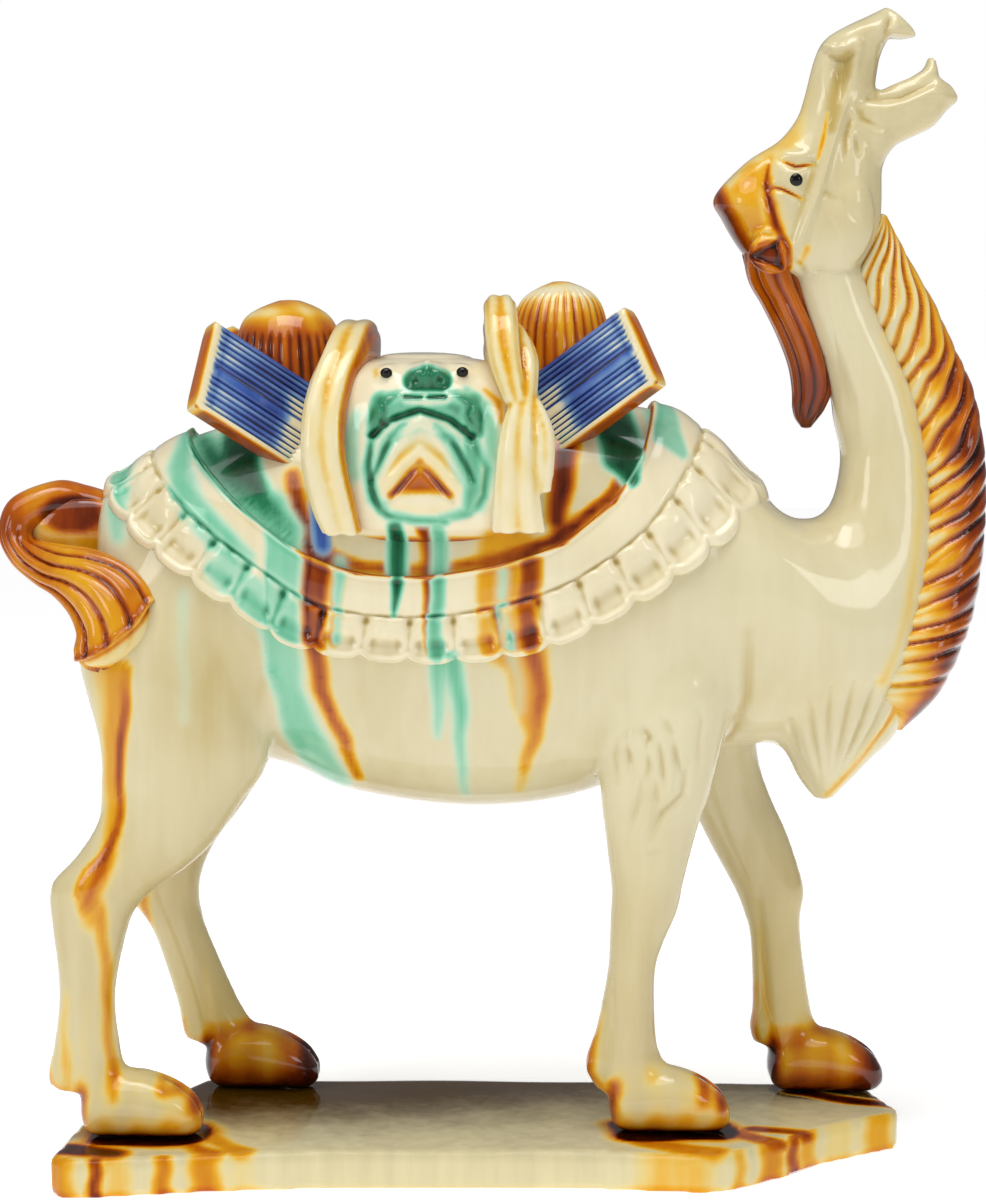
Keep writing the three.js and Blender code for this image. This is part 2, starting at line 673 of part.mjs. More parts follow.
function makeLoad() {
  const bag = loft(BAG, { sides: 12, square: BAG_SQUARE, bulge: [0, 0] });
  const knot = ellipsoid(KNOT.middle, KNOT.radii);
  const details = bothSides(joined([makeMask(), knot, ...BOARDS.map(makeBoard)]));
  return joined([makeHumps(), bag, details, makeSkein(LEFT_SKEIN), makeSkein(RIGHT_SKEIN)]);
}

function makeCamel() {
  const torso = loft(TORSO, { sides: 16, square: TORSO_SQUARE, bulge: [4, 0] });
  return joined([torso, makeCloth(), makeNeck(), makeHead(), makeLegs(), makeTail(), makeLoad()]);
}

function named(name, body, colour, roughness) {
  const material = new THREE.MeshStandardMaterial({ color: colour, roughness, metalness: 0 });
  const mesh = new THREE.Mesh(geometryOf(body), material);
  mesh.name = name;
  return mesh;
}

const figure = new THREE.Group();
figure.position.y = MIDPLANE_Y;
figure.add(named("camel", makeCamel(), 0xe3d8b2, 0.18));
figure.add(named("plinth", makeSlab(), 0xe0d3a6, 0.2));

export default figure;
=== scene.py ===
"""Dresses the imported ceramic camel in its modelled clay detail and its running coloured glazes.

Forms are worked out in millimetres in the animal's own frame: +X to the head, +Z up, near side at -Y.
A finished mesh is moved to the mid-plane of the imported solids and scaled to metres.
"""

import logging
import math
from collections.abc import Callable, Sequence
from dataclasses import dataclass
from enum import Enum

import bmesh
import bpy
import numpy as np
from mathutils import Matrix, Vector


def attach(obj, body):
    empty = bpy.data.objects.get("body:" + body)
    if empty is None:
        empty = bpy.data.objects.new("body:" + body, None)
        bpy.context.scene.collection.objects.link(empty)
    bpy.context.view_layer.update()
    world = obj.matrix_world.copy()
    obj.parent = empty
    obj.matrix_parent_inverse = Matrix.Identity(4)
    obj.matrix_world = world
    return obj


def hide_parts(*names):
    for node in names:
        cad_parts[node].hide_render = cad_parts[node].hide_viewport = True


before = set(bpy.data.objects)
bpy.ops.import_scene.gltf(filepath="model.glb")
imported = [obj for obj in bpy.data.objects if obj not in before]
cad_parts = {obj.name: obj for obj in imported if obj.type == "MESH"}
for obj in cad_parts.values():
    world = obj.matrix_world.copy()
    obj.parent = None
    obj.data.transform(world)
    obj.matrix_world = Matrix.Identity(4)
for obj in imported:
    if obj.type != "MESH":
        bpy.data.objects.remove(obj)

LOG = logging.getLogger("camel")
BODY = "root"
MM = 0.001
MIDPLANE_Y = 6.0
GROUND = 14.7
SEAM = 1e-4
DENSE = 600
CAP_ANGLES = np.linspace(0.0, math.pi / 2, 7)[1:]

Array = np.ndarray
Row = tuple[float, ...]
Rows = tuple[Row, ...]
Place = tuple[float, float]
Triple = tuple[float, float, float]
Places = tuple[Place, ...]
Relief = Callable[[Array, Array, Array], Array]
Form = bmesh.types.BMesh
Finish = bpy.types.Material


class Glaze(Enum):
    """A coloured glaze, by the name of the attribute that holds how thick it lies, or the painted shade,
    which also stands for glaze pooled in hollows.
    """

    AMBER = "amber"
    GREEN = "green"
    BLUE = "blue"
    # Painted shade, partly glaze pooled in hollows: it darkens the cream towards the deep colour.
    HOLLOW = "hollow"


AMBER, GREEN, BLUE, HOLLOW = Glaze
COLOURS = (AMBER, GREEN, BLUE)
Paint = dict[Glaze, Array]


class Node(Enum):
    """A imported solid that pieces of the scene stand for."""

    CAMEL = "camel"
    PLINTH = "plinth"


class Slot(Enum):
    """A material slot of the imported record."""

    CAMEL = "camel_glaze"
    PLINTH = "plinth_glaze"


TORSO: Rows = (
    (-157, 238, -157, 258, 12), (-153, 206, -153, 268, 26), (-141, 181, -141, 276, 37),
    (-122, 166.5, -122, 286.5, 44.2), (-81, 156, -81, 299, 49.5), (-57, 146, -57, 303, 50.5),
    (-14, 139.5, -14, 304.5, 51), (27, 142.5, 27, 303, 50.5), (67, 156, 67, 297.5, 46.5),
    (83, 161, 83, 289, 43), (99, 164, 99, 275.5, 38), (115, 168, 115, 256, 30), (127, 176, 127, 236, 18),
)
TORSO_SQUARE = 2.15


def ease(low: float, high: float, value: Array) -> Array:
    """A smooth step from 0 at low to 1 at high, where low may be the larger.

    Args:
        low: Value at which the step is still 0.
        high: Value at which the step has reached 1.
        value: Values to look up.

    Returns:
        The step at each value.
    """
    share = np.clip((value - low) / (high - low), 0.0, 1.0)
    return share * share * (3.0 - 2.0 * share)


def bell(distance: Array, width: float | Array) -> Array:
    """A bump that is 1 at distance 0 and fades over width."""
    return np.exp(-((distance / width) ** 2))


def catmull(rows: Sequence[Sequence[float]], places: Array) -> Array:
    """Rows on a smooth curve through the given ones.

    Args:
        rows: The rows that the curve passes through.
        places: Where to read the curve, counted in rows from the first.

    Returns:
        One row for each place.
    """
    table = np.asarray(rows, float)
    last = len(table) - 1
    places = np.clip(places, 0, last)
    index = np.minimum(places.astype(int), last - 1)
    t = (places - index)[:, None]
    before, start = table[np.maximum(index - 1, 0)], table[index]
    end, after = table[index + 1], table[np.minimum(index + 2, last)]
    bend = 2 * before - 5 * start + 4 * end - after
    turn = 3 * start - before - 3 * end + after
    return start + 0.5 * ((end - before) * t + bend * t * t + turn * t**3)


def run_length(points: Array) -> Array:
    """Distance along a line of points, from 0 at its start."""
    steps = np.linalg.norm(np.diff(points, axis=0), axis=1)
    return np.concatenate([[0.0], np.cumsum(steps)])


def even_line(points: Sequence[Place], count: int) -> Array:
    """Points evenly spread on a smooth curve through the given ones.

    Args:
        points: Points that the curve passes through.
        count: How many points to give.

    Returns:
        The points, one a row.
    """
    dense = catmull(points, np.linspace(0, len(points) - 1, DENSE))
    run = run_length(dense)
    wanted = np.linspace(0, run[-1], count)
    return np.stack([np.interp(wanted, run, column) for column in dense.T], axis=1)


def squared(angle: Array, square: float) -> tuple[Array, Array]:
    """Cosine and sine for a section that is squarer than a circle where square is over 2.

    Args:
        angle: Angles round the section.
        square: Power of the section's curve, 2 for a circle.

    Returns:
        The two shares of the section's half sizes.
    """
    power = 2 / square
    c, s = np.cos(angle), np.sin(angle)
    return np.sign(c) * np.abs(c) ** power, np.sign(s) * np.abs(s) ** power


def torso_row(x: Array) -> tuple[Array, Array, Array]:
    """Bottom, top and half width of the torso at places along it."""
    dense = catmull(TORSO, np.linspace(0, len(TORSO) - 1, DENSE))
    return tuple(np.interp(x, dense[:, 0], dense[:, k]) for k in (1, 3, 4))


def torso_point(x: Array, angle: Array, lift: Array) -> Array:
    """Points on the torso grown by some lift.

    Args:
        x: Places along the torso.
        angle: Angles round it from its top, negative on the near side.
        lift: Heights over it.

    Returns:
        The points.
    """
    low, high, half = torso_row(x)
    c, s = squared(angle, TORSO_SQUARE)
    y = s * (half + lift)
    z = (low + high) / 2 + c * ((high - low) / 2 + lift)
    return np.stack([np.broadcast_to(x, y.shape), y, z], axis=-1)


def path_distance(x: Array, z: Array, path: Sequence[Place]) -> tuple[Array, Array]:
    """How far points of the side view are from a line, and how far along it.

    Args:
        x: First coordinates of the points.
        z: Second coordinates of the points.
        path: Corners of the line.

    Returns:
        The distances, and the shares of the line's length.
    """
    best = np.full(np.shape(x), np.inf)
    along = np.zeros(np.shape(x))
    corners = np.asarray(path, float)
    run = run_length(corners)
    for (x0, z0), (x1, z1), done, after in zip(corners, corners[1:], run, run[1:]):
        dx, dz = x1 - x0, z1 - z0
        t = np.clip(((x - x0) * dx + (z - z0) * dz) / (dx * dx + dz * dz), 0, 1)
        gap = np.hypot(x - x0 - t * dx, z - z0 - t * dz)
        closer = gap < best
        best = np.where(closer, gap, best)
        along = np.where(closer, (done + t * (after - done)) / run[-1], along)
    return best, along


def outward(points: Array) -> Array:
    """Unit directions out of a skin of rings.

    Args:
        points: Points by ring and by place round the ring.

    Returns:
        A direction for each point, and nothing at a pole.
    """
    around = np.roll(points, -1, axis=1) - np.roll(points, 1, axis=1)
    normal = np.cross(around, np.gradient(points, axis=0))
    normal /= np.maximum(np.linalg.norm(normal, axis=2, keepdims=True), 1e-9)
    middle = points.mean(axis=1, keepdims=True)
    return normal if ((points - middle) * normal).sum() > 0 else -normal


def roll_grid(form: Form, points: Array, ring_closed: bool = False) -> None:
    """Rolls a grid into a closed skin through rings of points.

    Args:
        form: The form that the skin is added to.
        points: Points by ring and by place round the ring.
        ring_closed: Whether the last ring joins the first, as in a torus.
    """
    rings, sides = points.shape[:2]
    spans = rings if ring_closed else rings - 1
    made = bmesh.ops.create_grid(form, x_segments=sides, y_segments=spans, size=0.5)
    for vert in made["verts"]:
        ring = round((vert.co.y + 0.5) * spans)
        vert.co = points[ring % rings, round((vert.co.x + 0.5) * sides) % sides]
    bmesh.ops.remove_doubles(form, verts=made["verts"], dist=SEAM)


@dataclass(frozen=True)
class Loft:
    """A rounded form through rows (ax, az, bx, bz, half, middle).

    A row gives two opposite points of a section in the side view, its half width across the animal
    and where its middle lies, which a row on the mid-plane leaves out. With across, the rows lie in the
    view from behind instead.
    """

    rows: Rows
    square: float = 2.0
    bulge: tuple[float, float] = (2.0, 2.0)
    sides: int = 64
    steps: int = 60
    across: bool = False

    def rings(self) -> Array:
        """Works out rows at even steps along the form.

        Returns:
            The rows, with shrinking ones that close the two ends.
        """
        rows = [(*row, 0.0)[:6] for row in self.rows]
        dense = catmull(rows, np.linspace(0, len(rows) - 1, DENSE))
        run = run_length((dense[:, [0, 1, 5]] + dense[:, [2, 3, 5]]) / 2)
        wanted = np.linspace(0, run[-1], self.steps)
        body = np.stack([np.interp(wanted, run, column) for column in dense.T], axis=1)
        start = self._closing(body[0], body[1], self.bulge[0])
        end = self._closing(body[-1], body[-2], self.bulge[1])
        return np.vstack([start[::-1], body, end])

    @staticmethod
    def _closing(row: Array, inner: Array, bulge: float) -> Array:
        """Works out rows that shrink to a point beyond an end row.

        Args:
            row: The end row.
            inner: The row next to it.
            bulge: How far the closed end stands out.

        Returns:
            The rows, from the widest to the point.
        """
        middle = (row[0:2] + row[2:4]) / 2
        away = middle - (inner[0:2] + inner[2:4]) / 2
        away /= max(float(np.linalg.norm(away)), 1e-9)
        made = []
        for angle in CAP_ANGLES:
            spot = middle + away * bulge * math.sin(angle)
            reach = (row[2:4] - row[0:2]) / 2 * math.cos(angle)
            made.append([*(spot - reach), *(spot + reach), row[4] * math.cos(angle), row[5]])
        return np.array(made)

    def shares(self) -> Array:
        """Share of the way along the form at each ring, with the closing rings at 0 and 1."""
        closing = len(CAP_ANGLES)
        return np.clip((np.arange(self.steps + 2 * closing) - closing) / (self.steps - 1), 0, 1)

    def angles(self) -> Array:
        """Works out angles at even distances round a section halfway along the form.

        Returns:
            One angle for each side.
        """
        row = self.rings()[self.steps // 2 + len(CAP_ANGLES)]
        fine = np.linspace(0, 2 * math.pi, 4 * DENSE + 1)
        c, s = squared(fine, self.square)
        wide = math.hypot(row[2] - row[0], row[3] - row[1]) / 2
        run = run_length(np.stack([c * wide, s * row[4]], axis=1))
        return np.interp(np.linspace(0, run[-1], self.sides + 1)[:-1], run, fine)

    def surface(self) -> Array:
        """Works out the plain skin.

        Returns:
            Points by ring and by place round the ring.
        """
        rings = self.rings()
        c, s = squared(self.angles(), self.square)
        middle = (rings[:, 0:2] + rings[:, 2:4]) / 2
        reach = (rings[:, 2:4] - rings[:, 0:2]) / 2
        u = middle[:, 0, None] + c * reach[:, 0, None]
        z = middle[:, 1, None] + c * reach[:, 1, None]
        v = rings[:, 5, None] + s * rings[:, 4, None]
        return np.stack([v, u, z] if self.across else [u, v, z], axis=-1)

    def skin(self, form: Form, relief: Relief | None = None) -> None:
        """Adds the form's closed skin.

        Args:
            form: The form that the skin is added to.
            relief: Height over the plain skin from points, share along and angle round.
        """
        points = self.surface()
        if relief is not None:
            along = np.broadcast_to(self.shares()[:, None], points.shape[:2])
            angle = np.broadcast_to(self.angles()[None, :], points.shape[:2])
            height = relief(points, along, angle)
            points = points + outward(points) * height[..., None]
        roll_grid(form, points)

    def clay(self, relief: Relief | None = None) -> "Clay":
        """Gives the form alone as clay.

        Args:
            relief: Height over the plain skin.

        Returns:
            The clay.
        """
        form = bmesh.new()
        self.skin(form, relief)
        return Clay(form)


def mirrored(rows: Rows) -> Rows:
    """Rows of the same form on the other side of the animal."""
    return tuple((*row[:5], -row[5]) for row in rows)


def other_side(rows: Rows) -> Rows:
    """Rows of the view from behind, on the other side of the animal."""
    return tuple((-row[0], row[1], -row[2], row[3], row[4], row[5]) for row in rows)


def add_ball(form: Form, middle: Triple, radii: Triple, turn: float = 0) -> None:
    """Adds an ellipsoid.

    Args:
        form: The form that it is added to.
        middle: Its middle.
        radii: Its three half sizes.
        turn: Its turn in the side view, in degrees.
    """
    place = Matrix.Translation(Vector(middle)) @ Matrix.Rotation(math.radians(-turn), 4, "Y")
    shape = place @ Matrix.Diagonal((*radii, 1.0))
    bmesh.ops.create_uvsphere(form, u_segments=40, v_segments=24, radius=1.0, matrix=shape)


@dataclass(frozen=True)
class Stroke:
    """A line drawn on a form in the side view, raised by height or cut where it is negative."""

    path: Places
    width: float
    height: float
    tapered: bool = True

    def lift(self, points: Array) -> Array:
        """How much the stroke raises each point.

        Args:
            points: Points of a form.

        Returns:
            A height for each point.
        """
        gap, along = path_distance(points[:, 0], points[:, 2], self.path)
        fade = np.sqrt(np.maximum(np.sin(np.clip(along, 0.04, 0.96) * math.pi), 0)) if self.tapered else 1.0
        return self.height * fade * bell(gap, self.width)


@dataclass(frozen=True)
class Swell:
    """A rounded rise or dent on a form in the side view, turned by some degrees."""

    middle: Place
    radii: Place
    height: float
    turn: float = 0.0

    def lift(self, points: Array) -> Array:
        """How much the swell raises each point.

        Args:
            points: Points of a form.

        Returns:
            A height for each point.
        """
        angle = math.radians(self.turn)
        x, z = points[:, 0] - self.middle[0], points[:, 2] - self.middle[1]
        u = (x * math.cos(angle) + z * math.sin(angle)) / self.radii[0]
        v = (z * math.cos(angle) - x * math.sin(angle)) / self.radii[1]
        return self.height * ease(1.0, 0.0, np.hypot(u, v))


def show(item: bpy.types.Object) -> None:
    """Puts an object into the scene."""
    bpy.context.scene.collection.objects.link(item)


class Clay:
    """A closed skin in millimetres that is worked by moving its points."""

    settling: float = 0.5
    springing: float = 0.52
    refresh: int = 5

    def __init__(self, form: Form) -> None:
        """Takes over a form and frees it.

        Args:
            form: One or more closed skins.
        """
        bmesh.ops.recalc_face_normals(form, faces=form.faces)
        self.mesh = bpy.data.meshes.new("clay")
        form.to_mesh(self.mesh)
        form.free()
        self._read()

    def _read(self) -> None:
        """Reads the points and edges of the mesh."""
        count = len(self.mesh.vertices)
        flat = np.empty(count * 3, np.float32)
        self.mesh.vertices.foreach_get("co", flat)
        self.points = flat.reshape(-1, 3).astype(float)
        pairs = np.empty(len(self.mesh.edges) * 2, np.int32)
        self.mesh.edges.foreach_get("vertices", pairs)
        self.edges = pairs.reshape(-1, 2)
        self.valence = np.maximum(np.bincount(pairs, minlength=count), 1)

    def fuse(self, voxel: float) -> "Clay":
        """Joins overlapping skins into one even skin.

        Args:
            voxel: Size of the grid that the new skin is laid on.

        Returns:
            The clay itself.
        """
        holder = bpy.data.objects.new("clay", self.mesh)
        show(holder)
        remesh = holder.modifiers.new("fuse", "REMESH")
        remesh.mode = "VOXEL"
        remesh.voxel_size = voxel
        graph = bpy.context.evaluated_depsgraph_get()
        self.mesh = bpy.data.meshes.new_from_object(holder.evaluated_get(graph))
        bpy.data.objects.remove(holder)
        self._read()
        return self

    def refine(self, where: Array) -> "Clay":
        """Splits the edges between some points.

        Args:
            where: Whether each point is one of them.

        Returns:
            The clay itself.
        """
        self.normals()
        form = bmesh.new()
        form.from_mesh(self.mesh)
        edges = [edge for edge in form.edges if where[edge.verts[0].index] and where[edge.verts[1].index]]
        bmesh.ops.subdivide_edges(form, edges=edges, cuts=1, use_grid_fill=True)
        form.to_mesh(self.mesh)
        form.free()
        self._read()
        return self

    def near_mean(self, values: Array) -> Array:
        """Takes the mean over the neighbours of each point.

        Args:
            values: One or more values for each point.

        Returns:
            The means, in the same order.
        """
        first, second = self.edges.T
        count = len(values)
        sums = [
            np.bincount(first, column[second], count) + np.bincount(second, column[first], count)
            for column in values.reshape(count, -1).T
        ]
        return (np.array(sums) / self.valence).T.reshape(values.shape)

    def normals(self) -> Array:
        """Brings the mesh up to date and reads which way its skin faces.

        Returns:
            Unit direction out of the skin at each point.
        """
        self.mesh.vertices.foreach_set("co", self.points.astype(np.float32).ravel())
        self.mesh.update()
        flat = np.empty(len(self.points) * 3, np.float32)
        self.mesh.vertex_normals.foreach_get("vector", flat)
        return flat.reshape(-1, 3).astype(float)

    def smooth(self, times: int, where: Array | float = 1.0) -> "Clay":
        """Evens the skin out without shrinking it.

        Args:
            times: How often its points are moved.
            where: How much of each move a point makes.

        Returns:
            The clay itself.
        """
        weight = np.reshape(where, (-1, 1))
        for _ in range(times):
            self.points += self.settling * weight * (self.near_mean(self.points) - self.points)
            self.points -= self.springing * weight * (self.near_mean(self.points) - self.points)
        return self

    def fill_creases(self, times: int, where: Array | float = 1.0) -> "Clay":
        """Fills inner corners as a wet brush does.

        Args:
            times: How often its points are moved.
            where: How much of each move a point makes.

        Returns:
            The clay itself.
        """
        for turn in range(times):
            if turn % self.refresh == 0:
                normals = self.normals()
            rise = ((self.near_mean(self.points) - self.points) * normals).sum(axis=1)
            self.points += normals * (np.maximum(rise, 0) * where)[:, None]
        return self

    def lift(self, marks: Sequence[Stroke | Swell], where: Array | float = 1.0) -> "Clay":
        """Raises and cuts strokes and swells.

        Args:
            marks: The strokes and swells.
            where: How much of their height each point takes.

        Returns:
            The clay itself.
        """
        height = sum(mark.lift(self.points) for mark in marks) * where
        self.points += self.normals() * np.reshape(height, (-1, 1))
        return self

    def hollow(self, times: int = 6) -> Array:
        """Measures how deep each point lies.

        Args:
            times: How many rings of neighbours count as its surroundings.

        Returns:
            Depths below the surroundings in millimetres, negative on a ridge.
        """
        level = self.points
        for _ in range(times):
            level = self.near_mean(level)
        depth = ((level - self.points) * self.normals()).sum(axis=1)
        return self.near_mean(depth)


Marks = tuple[Stroke | Swell, ...]


def facing(clay: Clay, low: float = 0.15, high: float = 0.5) -> Array:
    """How far each point faces the near or far side, from 0 to 1."""
    return ease(low, high, np.abs(clay.normals()[:, 1]))


@dataclass(frozen=True)
class Drip:
    """A run of glaze in the side view, as (x, z, half width) down its middle."""

    glaze: Glaze
    strength: float
    path: tuple[Triple, ...]
    soft: float = 2.4

    def amount(self, x: Array, z: Array) -> Array:
        """How thick the run lies at points of the side view.

        Args:
            x: First coordinates of the points.
            z: Second coordinates of the points.

        Returns:
            A thickness from 0 to the run's strength.
        """
        best = np.zeros_like(x)
        for (x0, z0, w0), (x1, z1, w1) in zip(self.path, self.path[1:]):
            dx, dz = x1 - x0, z1 - z0
            t = np.clip(((x - x0) * dx + (z - z0) * dz) / (dx * dx + dz * dz), 0, 1)
            gap = np.hypot(x - x0 - t * dx, z - z0 - t * dz) - (w0 + t * (w1 - w0))
            best = np.maximum(best, ease(self.soft, -self.soft, gap))
        return best * self.strength


Drips = tuple[Drip, ...]


def bare(count: int) -> Paint:
    """No coloured glaze at all on a number of points."""
    return {glaze: np.zeros(count) for glaze in Glaze}


def brush(paint: Paint, glaze: Glaze, amount: Array) -> None:
    """Lays a glaze on wherever it is thicker than what lies there."""
    paint[glaze] = np.maximum(paint[glaze], amount)


def thickest(drips: Sequence[Drip], x: Array, z: Array) -> Array:
    """Thickness of the thickest of several runs at points of the side view."""
    return np.maximum.reduce([drip.amount(x, z) for drip in drips])


@dataclass(frozen=True)
class Runs:
    """The runs of coloured glaze that go over several pieces, and where they lie on the far side."""

    far_shift: float = 6.0
    side_fade: float = 9.0
    flank: Drips = (
        Drip(GREEN, 0.42, ((-121, 290, 3), (-122, 276, 5), (-116, 262, 6), (-106, 250, 6),
             (-96, 240, 5)), 4),
        Drip(GREEN, 0.34, ((-104, 238, 7), (-92, 228, 8), (-84, 216, 5)), 5),
        Drip(GREEN, 0.76, ((-118, 290, 3), (-108, 279, 5), (-97, 270, 5.4), (-85, 261, 4.4),
             (-76, 252, 2)), 5),
        Drip(GREEN, 0.92, ((-119.5, 292, 1), (-113.4, 282, 1.4), (-97, 264.6, 1.6), (-76, 247.8, 1)), 3.4),
        Drip(AMBER, 1, ((-76, 247.8, 1.6), (-52, 238.6, 1.5), (-27, 237, 1.2), (2, 241.4, 1.4),
             (26, 249.6, 1.8), (46, 265.6, 1.6), (56, 282, 1)), 1.8),
        Drip(GREEN, 0.4, ((-83, 262, 5), (-81, 245, 7), (-81, 226, 7.4), (-80.5, 206, 7.2), (-80, 191, 6),
             (-75, 175, 7), (-69, 164, 8), (-61, 151, 5)), 3),
        Drip(GREEN, 0.56, ((-86, 250, 1), (-86.5, 226, 1.4), (-86, 200, 1.2), (-82, 180, 1),
             (-74, 162, 1)), 3),
        Drip(AMBER, 0.74, ((-76.5, 273, 2.6), (-74, 258, 4), (-68.5, 249, 6), (-68.4, 226, 5.6),
             (-67.7, 206, 3.6), (-67, 191, 2.8), (-62, 178, 2.4), (-57, 170, 2.2), (-53, 154, 1.6)), 3),
        Drip(AMBER, 0.97, ((-73, 262, 1), (-70.5, 246, 1.6), (-71, 228, 1.6), (-69.4, 206, 1),
             (-68, 191, 0.6))),
        Drip(AMBER, 0.4, ((-60.3, 241, 3.5), (-60, 226, 3), (-60, 210, 2.3))),
        Drip(GREEN, 0.35, ((-59.3, 241, 2.5), (-59, 226, 2), (-59, 210, 1.5))),
        Drip(BLUE, 0.85, ((-66, 262, 2.6), (-65.5, 246, 2.2))),
        Drip(GREEN, 1, ((-37.4, 254, 3), (-37, 237, 2.9), (-37.2, 229, 1.6), (-37.1, 221, 0.6))),
        Drip(AMBER, 0.75, ((-24.5, 254, 5), (-24.2, 240, 3.2), (-24, 226, 2.4), (-23.5, 206, 1.6))),
        Drip(GREEN, 0.55, ((-20.8, 254, 3), (-21, 226, 2.6), (-21.5, 206, 3), (-22, 187, 2),
             (-21, 172, 1))),
        Drip(GREEN, 0.55, ((-15.5, 203, 3.2), (-13.4, 187, 3), (-12.7, 176, 2.2), (-10.8, 147, 1.2))),
        Drip(AMBER, 0.36, ((5.5, 243, 13), (5.5, 226, 12), (6.5, 210, 11.5), (12.8, 204, 9.5),
             (13.5, 187, 7.4), (16, 172, 3.8), (13, 160, 2.4), (10.4, 149, 2)), 3),
        Drip(AMBER, 0.7, ((13.5, 240, 4.6), (13, 226, 4.2), (14, 212, 4), (17, 200, 3.4), (17.5, 187, 3),
             (16.5, 172, 2), (13, 158, 1.2)), 3.4),
        Drip(GREEN, 0.3, ((3, 236, 2), (4, 222, 2), (7, 208, 2), (9, 196, 1.4), (10, 182, 1)), 3.4),
        Drip(AMBER, 0.66, ((25.5, 268, 3.6), (25.6, 251, 3.6))),
        Drip(GREEN, 0.95, ((46, 295, 8), (50, 282, 8), (54, 272, 3))),
        Drip(GREEN, 0.95, ((-99, 290, 8), (-97, 277, 7), (-90, 268, 4))),
        Drip(AMBER, 0.84, ((28, 284, 5), (27, 270, 4.6), (24.6, 256, 3.4)), 3),
        Drip(GREEN, 0.4, ((64, 301, 7), (67, 290, 6), (74, 281, 2.4))),
        Drip(GREEN, 0.2, ((-118.7, 228, 2.6), (-119, 180, 2.2)), 4),
        Drip(GREEN, 0.42, ((-147, 276, 6), (-148, 262, 5), (-147, 250, 4)), 5),
        Drip(AMBER, 0.3, ((-149, 200, 8), (-147, 172, 6.5), (-150, 148, 4)), 5),
        Drip(AMBER, 0.4, ((-146, 200, 6), (-147, 172, 5), (-147, 148, 4), (-148, 130, 4), (-152, 118, 5.4),
             (-156, 108, 4.4), (-155, 100, 3.4)), 4),
        Drip(AMBER, 0.62, ((-147, 130, 1), (-151.5, 120, 3.6), (-155.5, 110, 3.6), (-158, 106, 2.4))),
        Drip(AMBER, 0.95, ((-141, 200, 1), (-141.6, 186.7, 1.4), (-143.6, 163.3, 1.4), (-143.6, 147.7, 1.2),
             (-146, 135, 1.2), (-150.4, 126.4, 1.2), (-157.4, 120, 1), (-161, 110, 0.6)), 1.8),
        Drip(AMBER, 0.62, ((-151.7, 108, 2), (-151.1, 85.7, 2.2), (-150, 66, 1.8), (-148.6, 46, 1.8),
             (-147.6, 31, 2)), 3.4),
        Drip(AMBER, 0.44, ((-166, 72, 1), (-166.6, 46, 2.4), (-165, 32, 2.4)), 3.4),
        Drip(AMBER, 0.26, ((-157, 70, 1), (-158.4, 50, 2), (-158, 34, 2)), 3.4),
    )

    def lay(self, points: Array, paint: Paint) -> None:
        """Adds the runs to a piece's paint.

        Args:
            points: Points of the piece.
            paint: The piece's thickness of each glaze, which is changed.
        """
        x, y, z = points.T
        drift = 0.7 * np.sin(z * 0.12 + 1.0) + 0.3 * np.sin(z * 0.31 + x * 0.1)
        for side, shift in ((-1, 0.0), (1, self.far_shift)):
            fade = ease(-self.side_fade, self.side_fade, y * side)
            for drip in self.flank:
                brush(paint, drip.glaze, drip.amount(x + drift - shift, z) * fade)


class Wire:
    """A node's output, whose arithmetic adds Math nodes."""

    def __init__(self, bench: "Bench", socket: bpy.types.NodeSocket) -> None:
        """Wraps a socket of the bench's tree."""
        self.bench = bench
        self.socket = socket

    def _math(self, operation: str, first: "Wire | float", second: "Wire | float") -> "Wire":
        """The output of a Math node on two values."""
        return self.bench.node("ShaderNodeMath", {"operation": operation}, {0: first, 1: second})

    def __add__(self, other: "Wire | float") -> "Wire":
        """Sum of two values."""
        return self._math("ADD", self, other)

    def __sub__(self, other: "Wire | float") -> "Wire":
        """Difference of two values."""
        return self._math("SUBTRACT", self, other)

    def __rsub__(self, other: "Wire | float") -> "Wire":
        """Difference of a plain value and this one."""
        return self._math("SUBTRACT", other, self)

    def __mul__(self, other: "Wire | float") -> "Wire":
        """Product of two values."""
        return self._math("MULTIPLY", self, other)

    __radd__ = __add__
    __rmul__ = __mul__

    def eased(self, low: float, high: float) -> "Wire":
        """A smooth step of this value from low to high."""
        values = {"Value": self, "From Min": low, "From Max": high}
        return self.bench.node("ShaderNodeMapRange", {"interpolation_type": "SMOOTHSTEP"}, values)


def tint(red: int, green: int, blue: int) -> tuple[float, float, float, float]:
    """A colour as it looks on a screen, in the renderer's linear values."""
    linear = (((c / 255 + 0.055) / 1.055) ** 2.4 if c > 10 else c / 255 / 12.92 for c in (red, green, blue))
    return (*linear, 1.0)


Stops = tuple[tuple[float, tuple[float, float, float, float]], ...]


